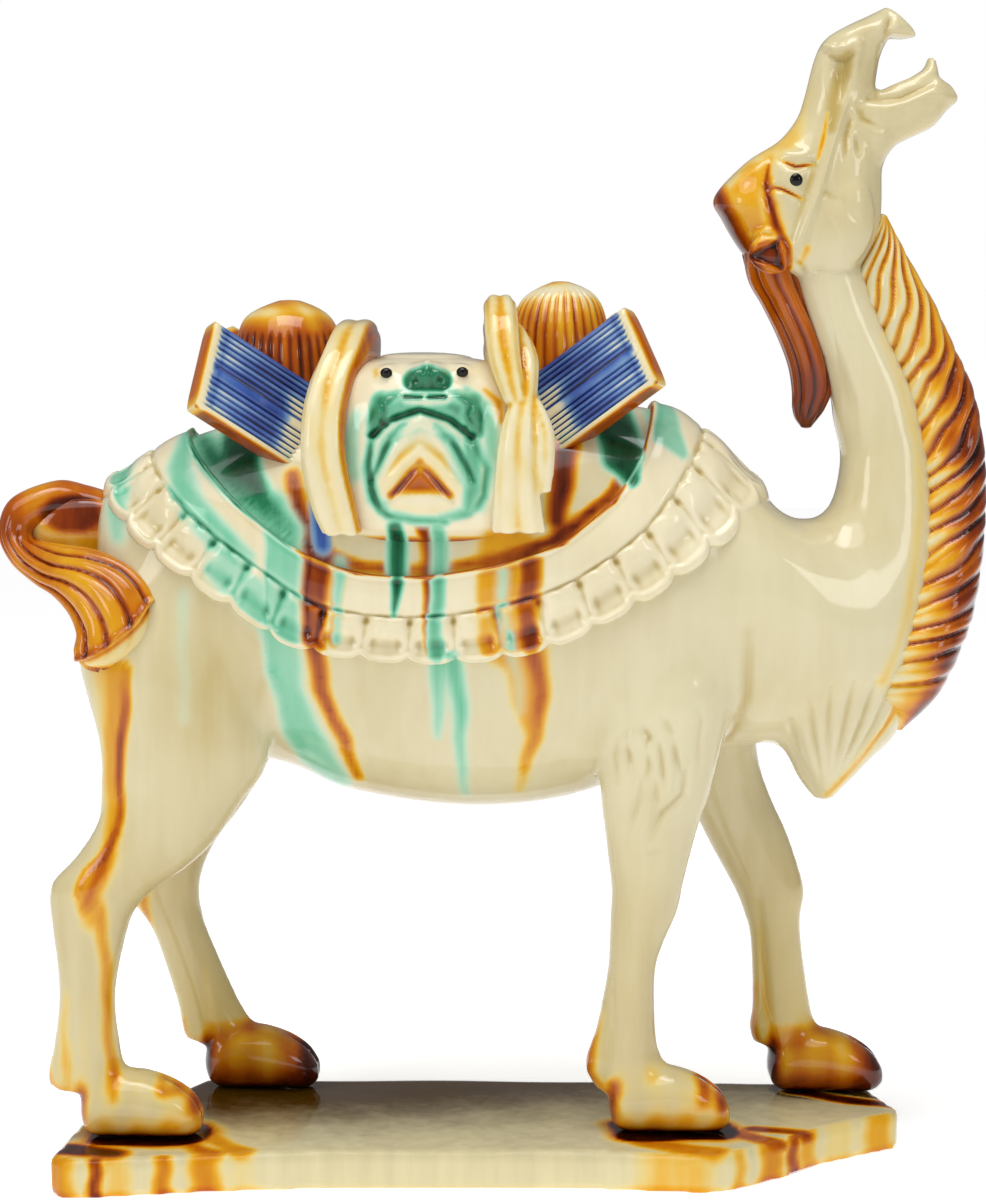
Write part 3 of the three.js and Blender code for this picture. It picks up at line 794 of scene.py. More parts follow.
class Bench:
    """Builds the node tree of one material, or of the surroundings."""

    def __init__(self, owner: bpy.types.Material | bpy.types.World) -> None:
        """Empties the tree of a material or of the surroundings.

        Args:
            owner: What the tree belongs to.
        """
        owner.use_nodes = True
        self.owner = owner
        self.tree = owner.node_tree
        self.tree.nodes.clear()

    def node(self, kind: str, settings: dict, values: dict, output: int | str = 0) -> Wire:
        """Adds a node.

        Args:
            kind: Type of the node.
            settings: The node's properties, where stops are a ramp's places and colours.
            values: Plain values or wires, by the name or number of their input.
            output: Name or number of the output that is wanted.

        Returns:
            The wanted output.
        """
        made = self.tree.nodes.new(kind)
        for key, value in settings.items():
            if key == "stops":
                self._set_stops(made.color_ramp, value)
            else:
                setattr(made, key, value)
        for key, value in values.items():
            if isinstance(value, Wire):
                self.tree.links.new(value.socket, made.inputs[key])
            else:
                made.inputs[key].default_value = value
        return Wire(self, made.outputs[output] if made.outputs else None)

    @staticmethod
    def _set_stops(ramp: bpy.types.ColorRamp, stops: Stops) -> None:
        """Gives a ramp its places and colours.

        Args:
            ramp: The ramp.
            stops: Its places and colours, in order.
        """
        for place, _ in stops[2:]:
            ramp.elements.new(place)
        for element, (place, colour) in zip(ramp.elements, stops):
            element.position = place
            element.color = colour

    def mixed(self, factor: Wire | float, first: Wire | tuple, second: Wire | tuple) -> Wire:
        """Two colours mixed by a factor."""
        settings = {"data_type": "RGBA", "clamp_factor": True}
        return self.node("ShaderNodeMix", settings, {0: factor, 6: first, 7: second}, 2)

    def thickness(self, glaze: Glaze) -> Wire:
        """The attribute that says how thick a glaze lies."""
        return self.node("ShaderNodeAttribute", {"attribute_name": glaze.value}, {}, "Fac")

    def noise(self, scale: Triple, detail: float) -> Wire:
        """Adds noise over the piece's own place.

        Args:
            scale: How fine it is along each direction.
            detail: How many finer layers it has.

        Returns:
            A value from 0 to 1.
        """
        place = self.node("ShaderNodeTexCoord", {}, {}, "Object")
        stretched = self.node("ShaderNodeMapping", {}, {"Vector": place, "Scale": scale})
        return self.node("ShaderNodeTexNoise", {}, {"Vector": stretched, "Scale": 1.0, "Detail": detail})

    def finished(self, values: dict) -> Finish:
        """Joins a shader to the output.

        Args:
            values: Plain values or wires of the shader, by the name of their input.

        Returns:
            The material.
        """
        shader = self.node("ShaderNodeBsdfPrincipled", {}, values)
        self.node("ShaderNodeOutputMaterial", {}, {"Surface": shader})
        return self.owner


@dataclass(frozen=True)
class ThreeColourGlaze:
    """Lead glaze over pale clay: cream where it is bare, amber, green and blue where they run, and the cream
    darkened towards a deep colour as painted shade, partly glaze pooled in hollows.
    """

    name: str
    pale: tuple = tint(221, 212, 176)
    # The deep colour and its share belong to the painted shade, partly glaze pooled in hollows.
    deep: tuple = tint(186, 162, 94)
    shade: float = 0.75
    mottle: float = 0.7
    gloss: float = 0.28
    amber: Stops = (
        (0, tint(228, 214, 164)), (0.16, tint(230, 202, 108)), (0.32, tint(222, 162, 28)),
        (0.52, tint(188, 96, 4)), (0.70, tint(130, 48, 2)), (0.86, tint(70, 20, 2)), (1, tint(32, 8, 1)),
    )
    green: Stops = (
        (0, tint(224, 228, 200)), (0.24, tint(176, 216, 188)), (0.44, tint(116, 194, 158)),
        (0.70, tint(38, 122, 84)), (1, tint(10, 58, 34)),
    )
    blue: Stops = (
        (0, tint(200, 214, 214)), (0.28, tint(120, 156, 196)), (0.55, tint(62, 96, 172)),
        (0.80, tint(34, 56, 130)), (1, tint(14, 22, 66)),
    )
    cloud_scale: Triple = (16.0, 16.0, 10.0)
    streak_scale: Triple = (170.0, 170.0, 22.0)
    speck_scale: Triple = (420.0, 420.0, 420.0)
    wave_scale: Triple = (90.0, 90.0, 90.0)
    wave_height: float = 0.0006

    def material(self) -> Finish:
        """Makes the finish.

        Returns:
            The material.
        """
        bench = Bench(bpy.data.materials.new(self.name))
        cloud = bench.noise(self.cloud_scale, 3.0)
        streak = bench.noise(self.streak_scale, 3.0)
        speck = bench.noise(self.speck_scale, 2.0)
        hollow = bench.thickness(HOLLOW)
        # Painted shade: the cream darkens towards the deep colour by the shade attribute, with random cloudy
        # and streaky tone.
        depth = hollow * self.shade + (cloud - 0.5) * self.mottle + (streak - 0.5) * 0.25 + 0.22
        colour = bench.mixed(depth.eased(0.0, 1.0), self.pale, self.deep)
        for glaze, stops in ((AMBER, self.amber), (GREEN, self.green), (BLUE, self.blue)):
            laid = bench.thickness(glaze)
            varied = laid + laid * ((streak - 0.5) * 0.35 + (cloud - 0.5) * 0.3)
            ramp = bench.node("ShaderNodeValToRGB", {"stops": stops}, {"Fac": varied}, "Color")
            colour = bench.mixed(varied.eased(0.0, 0.3), colour, ramp)
        roughness = 0.07 + cloud * 0.07
        grain = bench.noise(self.wave_scale, 1.0) + speck * 0.08
        relief = {"Strength": 0.35, "Distance": self.wave_height, "Height": grain}
        return bench.finished({
            "Base Color": colour, "Roughness": roughness, "Normal": bench.node("ShaderNodeBump", {}, relief),
            "IOR": 1.52, "Coat Weight": self.gloss, "Coat Roughness": 0.03, "Specular IOR Level": self.gloss,
        })


@dataclass(frozen=True)
class BlackGlaze:
    """Thick black glaze of the eyes, with a hint of brown."""

    name: str
    dark: tuple = tint(10, 8, 10)
    brown: tuple = tint(38, 22, 14)
    cloud_scale: Triple = (200.0, 200.0, 200.0)

    def material(self) -> Finish:
        """Makes the finish.

        Returns:
            The material.
        """
        bench = Bench(bpy.data.materials.new(self.name))
        cloud = bench.noise(self.cloud_scale, 2.0)
        colour = bench.mixed(cloud.eased(0.45, 0.8), self.dark, self.brown)
        roughness = 0.06 + cloud * 0.04
        return bench.finished({"Base Color": colour, "Roughness": roughness, "Specular IOR Level": 0.3})


def fire(clay: Clay, name: str, finish: Finish, paint: Paint, node: Node = Node.CAMEL) -> None:
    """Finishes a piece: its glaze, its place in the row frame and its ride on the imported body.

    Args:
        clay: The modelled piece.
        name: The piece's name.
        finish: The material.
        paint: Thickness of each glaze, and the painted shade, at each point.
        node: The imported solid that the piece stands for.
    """
    clay.normals()
    mesh = clay.mesh
    for glaze, amount in paint.items():
        layer = mesh.attributes.new(glaze.value, "FLOAT", "POINT")
        layer.data.foreach_set("value", np.clip(amount, 0.0, 1.0).astype(np.float32))
    mesh.transform(Matrix.Diagonal((MM, MM, MM, 1.0)) @ Matrix.Translation((0.0, MIDPLANE_Y, 0.0)))
    mesh.polygons.foreach_set("use_smooth", np.ones(len(mesh.polygons), bool))
    mesh.materials.clear()
    mesh.materials.append(finish)
    mesh.name = name
    piece = bpy.data.objects.new(name, mesh)
    show(piece)
    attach(piece, BODY)
    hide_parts(node.value)
    triangles = sum(polygon.loop_total - 2 for polygon in mesh.polygons)
    LOG.info("%s: %d triangles", name, triangles)


def fire_eye(name: str, middle: Triple, radii: Triple, finish: Finish) -> None:
    """Models and glazes an eye.

    Args:
        name: The piece's name.
        middle: Its middle.
        radii: Its three half sizes.
        finish: The material.
    """
    form = bmesh.new()
    add_ball(form, middle, radii)
    ball = Clay(form)
    fire(ball, name, finish, bare(len(ball.points)))


def deepen(paint: Paint, hollow: Array, gain: float = 0.3, limit: float = 1.0, thinning: float = 1.0) -> None:
    """Lets coloured glaze pool in hollows and thin out on ridges, and paints the hollows darker, as glaze
    pooled there and as painted shade.

    Args:
        paint: The piece's thickness of each glaze and its painted shade, which is changed.
        hollow: Depth of each point below its surroundings, in millimetres.
        gain: How much thicker a glaze lies in a full hollow.
        limit: Depth of a full hollow.
        thinning: How much of that gain is lost again on a full ridge.
    """
    share = np.clip(hollow / limit, -thinning, 1.0)
    for glaze in COLOURS:
        present = ease(0.02, 0.25, paint[glaze])
        paint[glaze] = np.clip(paint[glaze] + present * gain * share, 0, 1)
    # Painted shade in hollows, partly glaze pooled there.
    paint[HOLLOW] = np.maximum(paint[HOLLOW], np.clip(share, 0, 1))


@dataclass(frozen=True)
class Trunk:
    """Body, neck and legs in one skin, down to the ankles."""

    voxel: float = 1.88
    chest_tuft: Rows = (
        (100, 214, 160, 206, 31), (112, 190, 166, 184, 28), (114, 168, 162, 168.5, 22),
        (119.5, 157.5, 152, 158, 17), (123.5, 149.5, 144, 149.5, 12), (129, 142.5, 137, 142.2, 5),
    )
    neck: Rows = (
        (118, 355, 148, 352, 14), (122, 340, 151, 341, 14.5), (133.5, 308, 167, 308, 16.5),
        (136, 294, 172, 292, 17.5), (139, 278, 175.5, 276, 19), (134, 257.5, 178.5, 238, 25),
        (122, 253.5, 175, 214, 30), (108, 262, 169, 190, 35), (94, 274, 151, 175, 39),
        (79, 285, 124, 168, 40), (58, 284, 102, 164, 39), (40, 278, 80, 168, 33),
    )
    near_hind: Rows = (
        (-138, 252, -99, 242, 9, 22), (-148, 240, -92, 225, 15, 27), (-162, 209, -87, 194, 18, 31),
        (-153.5, 170, -88, 161.5, 15.5, 36), (-152.5, 152.5, -97.5, 146.5, 13.5, 37.5),
        (-154, 138, -109, 130, 12.5, 38.5), (-162.5, 124.5, -120, 120, 11.5, 39),
        (-171.5, 115, -130, 113.5, 11, 39), (-173, 107, -137, 107, 10.5, 39),
        (-172, 97.5, -142, 98.5, 10.2, 39), (-169.6, 71.5, -147.7, 71.5, 9.5, 39),
        (-172, 49.5, -146, 49.5, 10, 39), (-174, 41.5, -143.5, 40.5, 10.6, 39),
        (-174, 34, -137, 32, 11, 39),
    )
    far_hind: Rows = (
        (-138, 252, -99, 242, 9, 22), (-148, 240, -92, 225, 15, 27), (-159, 209, -87, 194, 18, 31),
        (-156, 160.5, -91, 158.5, 15, 36), (-155, 135, -103.5, 135, 13, 38),
        (-156, 117.5, -115, 119.5, 12, 39), (-157, 105, -121.3, 106.6, 11, 39),
        (-153, 95, -123, 96, 10.5, 39), (-145, 84.6, -121.5, 85.4, 10, 39),
        (-140.4, 75, -118.2, 76, 9.6, 39), (-132.7, 50.6, -107.5, 51.4, 10, 39),
        (-131, 41.2, -102, 42, 10.6, 39), (-129, 34, -96, 33, 11, 39),
    )
    near_fore: Rows = (
        (46, 224, 88, 224, 8, 22), (37.6, 209, 96, 209, 13, 26), (41, 186, 94, 189.5, 15, 30),
        (42, 150.5, 85.3, 150.5, 14, 32), (43.7, 135, 80.3, 135.6, 13, 32), (46.5, 111, 74.6, 113, 12, 32),
        (46.1, 101.3, 72.5, 102.4, 11.5, 32), (45.8, 89.4, 67, 89.4, 10, 32),
        (45, 77.5, 63.8, 77.5, 9.5, 32), (40.8, 55.6, 64, 55, 10, 32), (37.8, 47, 65.5, 46, 10.6, 32),
        (36.5, 39.5, 69, 37.7, 11, 32), (41, 31, 72, 30, 10, 32),
    )
    far_fore: Rows = (
        (64, 224, 98, 224, 8, 20), (58, 209, 104, 209, 13, 26), (64, 186, 106, 189, 15, 30),
        (74.6, 152, 110, 154, 13.5, 32), (82, 135.5, 115.2, 137.5, 12.5, 32),
        (89, 120.5, 122.8, 120.5, 12, 32), (100.4, 99.4, 129.3, 99.4, 11.5, 32),
        (104.3, 89.7, 128.1, 89.7, 10.5, 32), (107.3, 78.2, 128.2, 78.2, 9.8, 32),
        (108.3, 50.6, 132.2, 50.6, 10, 32), (107.1, 41.2, 135.3, 41.2, 10.6, 32),
        (109, 34, 141, 33, 11, 32),
    )
    folds: Marks = (
        Stroke(((120, 345), (126, 323), (134, 302)), 2.6, -1.3),
        Stroke(((125, 349), (132, 325), (140, 302), (143.5, 280)), 3.2, -1),
        Stroke(((128.6, 349), (136, 325), (145, 300)), 3, 0.8),
        Stroke(((99, 212), (99.6, 186), (95.4, 171.9), (89.3, 156.2), (82.4, 139.3)), 2.6, -1.3),
        Swell((70, 186), (25, 34), 1.8),
        Swell((-128, 205), (26, 40), 1.6),
        Stroke(((-92, 222), (-88, 196), (-96, 165)), 5, -1),
        Stroke(((46.8, 74), (46.1, 56.7), (47.5, 44.8), (50, 32)), 1.9, -1.3),
        Stroke(((109.5, 100), (110.8, 75.5), (112.6, 54.5), (116, 37)), 1.9, -1.3),
        Stroke(((-162.5, 64), (-163.2, 46.3), (-161, 33)), 1.9, -0.9),
        Stroke(((-121, 70), (-119, 50), (-117, 36)), 1.9, -0.9),
        Swell((61, 106), (8, 12), 0.8),
        Swell((-158, 112), (9, 11), 0.9),
    )
    elbow_fur: tuple[Stroke, ...] = (
        Stroke(((57.5, 176.1), (60.3, 172.3), (59.4, 168.5)), 1.5, -1.8),
        Stroke(((50.8, 168.8), (52.4, 165.7), (52.9, 160.5)), 1.3, -1.4),
        Stroke(((59.9, 166.2), (60.4, 160.5), (59.3, 156.7)), 1.3, -1.3),
        Stroke(((63.6, 171.9), (65.1, 164.3), (66.4, 154.3)), 1.3, -1.4),
        Stroke(((69.7, 171), (71.1, 164.3), (73.4, 158.5)), 1.3, -1.3),
        Stroke(((66, 180.4), (69.6, 173.2)), 1.6, -0.9),
        Stroke(((75.9, 162.5), (74.5, 155.8), (73.6, 150.1), (65.6, 143), (58.6, 130.2)), 1.6, -1.4),
        Stroke(((58.3, 156.8), (57.2, 151.6), (55.3, 144.5), (52.6, 136.8)), 1.3, -1.2),
        Stroke(((62.6, 156.8), (63.9, 146.2)), 1.3, -0.9),
        Stroke(((79.5, 183.7), (80.9, 178.4), (79.8, 170.9), (80.1, 158.5)), 1.6, -0.8),
        Stroke(((59, 127), (66.5, 129.2)), 1.4, -0.6),
        Stroke(((48.4, 171), (46.8, 164.3), (48, 154.7)), 1.4, -0.9),
        Stroke(((54, 174), (52, 170)), 1.4, 0.8),
        Stroke(((66.8, 168), (68.6, 158), (67.4, 149)), 1.5, 0.8),
        Stroke(((61.6, 149), (59, 140)), 1.5, 0.7),
    )
    chest_strands: tuple[Stroke, ...] = (
        Stroke(((117, 176), (122, 162), (129, 147)), 1.5, -0.8),
        Stroke(((124, 184), (127, 166), (131, 148)), 1.5, -1.1),
        Stroke(((132, 190), (132, 170), (133, 149)), 1.5, -1.2),
        Stroke(((141, 192), (138, 172), (134.6, 149)), 1.5, -1.3),
        Stroke(((150, 192), (145, 174), (136.6, 150)), 1.5, -1.4),
        Stroke(((157, 190), (151, 174), (139, 152)), 1.5, -1.4),
        Stroke(((162, 186), (156, 172), (143, 153)), 1.4, -1.2),
        Stroke(((145.5, 192), (141.5, 173), (135.8, 152)), 1.3, 0.6),
        Stroke(((153.5, 191), (148, 174), (138, 152)), 1.3, 0.6),
    )
    ambers: Drips = (
        Drip(AMBER, 0.34, ((144, 350, 1), (148, 338, 1.2), (157, 318, 1.4), (162, 304, 1.6),
             (167, 284, 1.6), (168, 262, 1.6), (165.5, 240, 2), (162.5, 220, 2), (158, 205, 2),
             (153, 192, 2.4)), 4),
        Drip(AMBER, 0.5, ((163, 188, 1.2), (159, 178, 1), (150, 166, 1), (143, 155, 1),
             (134, 144, 1.4)), 3),
        Drip(AMBER, 0.62, ((-174, 56, 0.6), (-174.6, 42, 2), (-173, 34, 2.6), (-162, 32, 2)), 3.4),
        Drip(AMBER, 0.62, ((-129.6, 44, 1), (-129, 34, 2.4), (-119, 33, 1.6)), 3.4),
        Drip(AMBER, 0.62, ((42, 62, 0.8), (38.4, 48, 2.4), (37.4, 38, 2.6), (44, 31.6, 1.6)), 3.4),
        Drip(AMBER, 0.62, ((109, 60, 0.8), (108, 44, 2), (110, 35, 2.2), (116, 33, 1)), 3.4),
    )

    def build(self, finish: Finish, runs: Runs, feet: "Feet") -> None:
        """Models and glazes the trunk.

        Args:
            finish: The material.
            runs: The runs of glaze over the flanks.
            feet: The feet that end the legs.
        """
        form = bmesh.new()
        feet.skin(form)
        Loft(self.chest_tuft, bulge=(0, 1), sides=56).skin(form)
        Loft(TORSO, square=TORSO_SQUARE, bulge=(4, 0), sides=72).skin(form)
        Loft(self.neck, square=2.3, bulge=(0, 0)).skin(form)
        for rows in (mirrored(self.near_hind), self.far_hind, mirrored(self.near_fore), self.far_fore):
            Loft(rows, bulge=(0, 0), sides=40).skin(form)
        clay = Clay(form).fuse(self.voxel)
        clay.smooth(5).fill_creases(40, 0.12 + 0.88 * ease(40, 90, clay.points[:, 2])).smooth(3)
        x, y, z = clay.points.T
        elbow = (x > 44) & (x < 85) & (z > 124) & (z < 186) & (y < -14)
        chest = (x > 110) & (z > 139) & (z < 194)
        clay.refine(elbow | chest).smooth(1)
        side = facing(clay)
        clay.lift(self.folds, side)
        clay.lift(self.elbow_fur, side * ease(20, 28, np.abs(clay.points[:, 1])))
        clay.lift(self.chest_strands, facing(clay, 0.05, 0.3))
        feet.cleave(clay)
        fire(clay, "trunk", finish, self._glaze(clay, runs, feet))

    def _glaze(self, clay: Clay, runs: Runs, feet: "Feet") -> Paint:
        """Works out the glazes on the trunk.

        Args:
            clay: The modelled trunk.
            runs: The runs of glaze over the flanks.
            feet: The feet that end the legs.

        Returns:
            Thickness of each glaze, and the painted shade.
        """
        paint = bare(len(clay.points))
        x, y, z = clay.points.T
        runs.lay(clay.points, paint)
        brush(paint, AMBER, thickest(self.ambers, x, z))
        brush(paint, AMBER, feet.glaze(clay.points))
        # Painted shade: amber laid thicker low on the far side darkens the far legs.
        brush(paint, AMBER, 0.24 * ease(150, 30, z) * ease(0, 20, y))
        # Painted shade: darker towards the underside and over the haunch.
        haunch = np.exp(-(((x + 112) / 26) ** 2 + ((z - 188) / 34) ** 2))
        paint[HOLLOW] = 0.32 * ease(175, 110, z) + 0.45 * haunch
        deepen(paint, clay.hollow(), limit=0.8, thinning=0.3)
        for glaze in COLOURS:
            paint[glaze] = clay.near_mean(paint[glaze])
        return paint


@dataclass(frozen=True)
class Feet:
    """The four soft two-toed feet that end the legs."""

    length: float = 46.5
    height: float = 20.5
    half_width: float = 12.6
    cleft_depth: float = 2.8
    cleft_width: float = 1.9
    patched_foot: int = 2
    places: Places = ((-160.8, -39.0), (-120.0, 37.0), (46.3, -32.0), (115.3, 31.0))
    rows: tuple[tuple[float, float, float, float], ...] = (
        (0.00, 0.30, 0.76, 0.44), (0.03, 0.12, 0.96, 0.70), (0.12, 0.00, 1.12, 0.94),
        (0.30, -0.02, 1.24, 1.02), (0.50, -0.02, 1.24, 1.07), (0.68, -0.02, 1.12, 1.08),
        (0.82, -0.02, 0.96, 1.00), (0.93, 0.00, 0.76, 0.84), (1.00, 0.12, 0.52, 0.54),
    )

    def skin(self, form: Form) -> None:
        """Adds the closed skins of the feet.

        Args:
            form: The form that they are added to.
        """
        for heel, middle in self.places:
            rows = tuple(
                (heel + along * self.length, GROUND + low * self.height, heel + along * self.length,
                 GROUND + high * self.height, wide * self.half_width, middle)
                for along, low, high, wide in self.rows
            )
            Loft(rows, square=2.4, bulge=(0.8, 0.8), sides=56).skin(form)

    def cleave(self, clay: Clay) -> None:
        """Cuts the cleft between the toes and flattens the soles.

        Args:
            clay: The trunk with its feet.
        """
        x, y, z = clay.points.T
        depth = np.zeros(len(x))
        for heel, middle in self.places:
            along = (x - heel) / self.length
            depth += bell(y - middle, self.cleft_width) * ease(0.62, 0.88, along) * ease(1.2, 1.06, along)
        clay.points += clay.normals() * (-self.cleft_depth * depth * ease(46, 36, z))[:, None]
        clay.points[:, 2] = np.maximum(clay.points[:, 2], GROUND)

    def glaze(self, points: Array) -> Array:
        """Works out the amber glaze on the feet.

        Args:
            points: Points of the trunk with its feet.

        Returns:
            Thickness of the glaze.
        """
        x, y, z = points.T
        amount = np.zeros(len(x))
        for number, (heel, middle) in enumerate(self.places):
            along = (x - heel) / self.length
            high = (z - GROUND) / self.height
            here = ease(1.55, 1.3, high) * ease(-0.06, 0.0, along) * ease(1.2, 1.06, along)
            here = here * ease(self.half_width + 6, self.half_width + 3, np.abs(y - middle))
            wave = 0.06 * np.sin(x * 0.5 + 1.3) + 0.05 * np.sin(y * 0.7 + x * 0.2)
            rim = 0.26 * ease(0.7, 0.2, high) + 0.5 * ease(0.16, 0.04, high)
            back = 0.60 * ease(0.12, 0.0, along) * ease(1.2, 1.0, high)
            toe = 0.56 * bell(along - 0.95, 0.09) * ease(0.2, 0.6, high)
            marks = [rim, back, toe]
            if number == self.patched_foot:
                marks.append(0.6 * bell(along - 0.78, 0.07) * ease(0.3, 0.7, high))
            far = 0.44 + 0.30 * ease(0.6, 1.0, along) if middle > 0 else 0.13
            amount = np.maximum(amount, here * (np.maximum.reduce(marks) + far + wave))
        return np.clip(amount, 0, 0.97)


@dataclass(frozen=True)
class Head:
    """Skull, open jaws, ears and eyes, with the muzzle turned up."""

    voxel: float = 0.82
    skull: Rows = (
        (114, 351, 138, 349, 7), (105.5, 354, 144, 352, 12.5), (98, 361.5, 149, 357.5, 16.5),
        (91, 373, 153, 367, 18), (87.7, 382, 154, 379, 17.5), (100, 395.6, 154, 392, 16),
        (113, 404, 155, 397, 14.5), (120, 412.5, 153.5, 404.5, 13), (123, 420.5, 150.5, 416.5, 12),
        (127, 436, 152, 433.5, 11.5), (131, 443.7, 154.5, 441.4, 12), (139, 448.8, 157, 444.5, 12),
        (148, 453, 162, 444.2, 10.5), (154.5, 456.2, 166.7, 445, 8),
    )
    jaw: Rows = (
        (139, 422, 148.7, 387, 12), (146, 423.5, 155, 396.8, 12), (152.3, 423.8, 159.3, 402.3, 11.5),
        (159, 426.6, 166, 405.8, 11), (167, 429.5, 173.8, 409.7, 10.5), (173.6, 430.3, 179, 415.6, 9),
        (178.8, 427, 183.2, 419.5, 6),
    )
    lip: Rows = (
        (158, 425, 166, 417, 9), (165, 429, 172.5, 423.5, 8), (170, 432.5, 176, 428.5, 6.5),
        (172, 437, 174.8, 435.5, 4),
    )
    sleeve: Rows = (
        (119, 357, 147, 354, 13), (120, 348, 149.5, 347, 14.4), (121.6, 341, 151.3, 341.6, 14.7),
        (126.8, 326, 158, 326, 15.4), (134.8, 309, 166, 309, 14.6),
    )
    ear: Triple = (108.6, -15.0, 358.8)
    eye: Triple = (118.3, -16.4, 387.7)
    eye_radius: float = 2.7
    swellings: tuple[tuple[Triple, Triple, float], ...] = (
        ((135.5, 11.5, 371), (14, 6.6, 19.5), -12), ((118.3, 13.8, 387.7), (6.6, 3.6, 5.6), -20),
        ((108.6, 15, 358.8), (8.6, 5, 7.4), -28),
    )
    ambers: Drips = (
        Drip(AMBER, 0.25, ((125, 434, 1), (121, 418, 3), (116, 406, 6), (108, 398, 6)), 4.4),
        Drip(AMBER, 0.36, ((108, 396, 2), (103, 391, 6), (98, 380, 9), (100, 368, 8), (106, 358, 8),
             (110, 350, 8)), 5),
        Drip(AMBER, 0.86, ((88, 385, 3), (90.5, 377, 4), (95.5, 367, 4), (101, 357, 4), (106, 349, 4)), 5),
        Drip(AMBER, 0.7, ((108, 394, 0.6), (106.8, 386, 1.2), (108.3, 379, 1.6), (111, 369, 2),
             (115, 361, 1.8), (115.5, 354, 1.8)), 2),
        Drip(AMBER, 0.55, ((107.6, 388, 2), (108, 379, 3), (110.5, 369, 3.4)), 4),
        Drip(AMBER, 0.4, ((131, 414, 0.3), (129, 403, 0.8), (127, 396, 0.3)), 1.6),
        Drip(AMBER, 0.32, ((123, 361, 1.6), (121, 356, 1.2)), 2.4),
        Drip(AMBER, 0.1, ((150, 356, 3), (152, 370, 2)), 4),
    )
    # Painted shade in the muzzle's recess and along the mouth.
    recess_shade: Drips = (
        Drip(HOLLOW, 1, ((139.5, 437, 2), (137, 430, 3.4), (134, 421, 3), (132, 408, 2)), 3),
        Drip(HOLLOW, 0.6, ((151, 441, 1), (150.6, 430, 1.2), (150.2, 420, 1.2)), 2),
    )
    lids: tuple[Stroke, ...] = (
        Stroke(((112.8, 395.2), (118.3, 393), (125, 393.8)), 0.7, 1),
        Stroke(((106.9, 385.2), (112.6, 384.3), (116.9, 382.3), (121, 380.2)), 0.7, 1),
    )
    marks: Marks = (
        Stroke(((119.3, 362), (123.5, 374.2), (127.7, 386.3), (130.5, 396.3), (134, 407.7), (137.5, 417.6),
               (143, 440)), 2, 1.5, False),
        Stroke(((116, 366), (120, 376), (124, 388), (127, 398), (130.5, 409)), 2.6, -1.2),
        Stroke(((137.9, 396), (138.3, 404.8), (140.4, 412.9)), 1.1, -1.3),
        Stroke(((143.4, 397.5), (141.9, 404.4)), 1.2, -1),
        Stroke(((140.6, 398), (140.4, 408)), 1.1, 0.5),
        Swell((135.8, 429), (7, 14.5), -3.6, 8),
        Swell((143, 386), (9, 17), 1.3, -10),
        Stroke(((129, 441.4), (131.5, 440), (134, 439), (138, 439.2), (142.4, 442)), 1.5, 2),
        Stroke(((130.6, 438), (134, 435.6), (138.4, 435.4), (141.6, 437.6)), 1.3, -1.6),
        Stroke(((155.8, 453), (155, 448), (153.5, 443.5)), 1.4, -2),
        Stroke(((147.5, 422.4), (159.6, 425.8), (171, 431)), 1.5, 0.9),
        Stroke(((147.5, 419.7), (159.7, 420.6), (172.5, 426.4)), 1.3, -1.7),
        Stroke(((146.5, 416.4), (155, 415.6), (162, 417.4), (173.3, 422.4), (181, 420)), 1.8, 1.3),
        Stroke(((143.2, 416.5), (145, 411.9), (150.5, 409.4)), 1.4, -1),
        Stroke(((140.5, 417), (142.5, 410), (148, 406.6)), 1.5, 0.6),
        Stroke(((112.8, 395.6), (118.3, 393.2), (125.2, 394)), 1.3, -1.7),
        Stroke(((112, 398.5), (119, 397), (125, 398)), 2.4, 1.1),
        Stroke(((106.9, 385.4), (112.6, 384.4), (116.9, 382.3), (121, 380.2)), 1.1, -1.6),
        Stroke(((108, 382.6), (113, 381.8), (117.4, 379.6)), 1.5, 0.9),
        Stroke(((108.5, 396), (106.6, 386.3), (108.1, 379.2), (111.4, 368.5)), 2.2, -1.8),
        Swell((97, 379), (11, 13), 1.6),
        Stroke(((128.4, 383.9), (136, 379)), 1.6, -0.6),
        Stroke(((130.7, 373.4), (135.3, 365)), 1.6, -0.6),
        Stroke(((137.1, 378.3), (142.6, 371.6)), 1.6, -0.6),
        Stroke(((118.5, 356.6), (123, 351.5)), 1.3, -1),
        Stroke(((147.6, 410), (156, 408), (164, 411), (171, 416)), 2.4, -0.9),
        Stroke(((102, 366.5), (108, 368), (113.5, 366.4)), 1.8, 1.5),
        Stroke(((92, 384), (98, 389.5), (106, 394)), 2, 0.8),
    )

    def build(self, finish: Finish, eye_finish: Finish) -> None:
        """Models and glazes the head and its eyes.

        Args:
            finish: The material of the head.
            eye_finish: The material of the eyes.
        """
        form = bmesh.new()
        Loft(self.skull, square=2.2, bulge=(5, 1.5), sides=64).skin(form)
        Loft(self.jaw, square=2.2, bulge=(0, 1.5), sides=56).skin(form)
        Loft(self.lip, bulge=(0, 0), sides=32).skin(form)
        Loft(self.sleeve, square=2.3, bulge=(0, 0), sides=56).skin(form)
        for side in (1, -1):
            for (x, y, z), radii, turn in self.swellings:
                add_ball(form, (x, y * side, z), radii, turn)
        clay = Clay(form).fuse(self.voxel)
        clay.smooth(3).fill_creases(16, self._soft(clay)).smooth(2)
        clay.lift(self.marks, facing(clay, 0.1, 0.5))
        self._hollow_ears(clay)
        clay.smooth(1)
        fire(clay, "head", finish, self._glaze(clay))
        radii = (self.eye_radius, self.eye_radius * 0.62, self.eye_radius)
        for name, side in (("near_eye", 1), ("far_eye", -1)):
            fire_eye(name, (self.eye[0], self.eye[1] * side, self.eye[2]), radii, eye_finish)

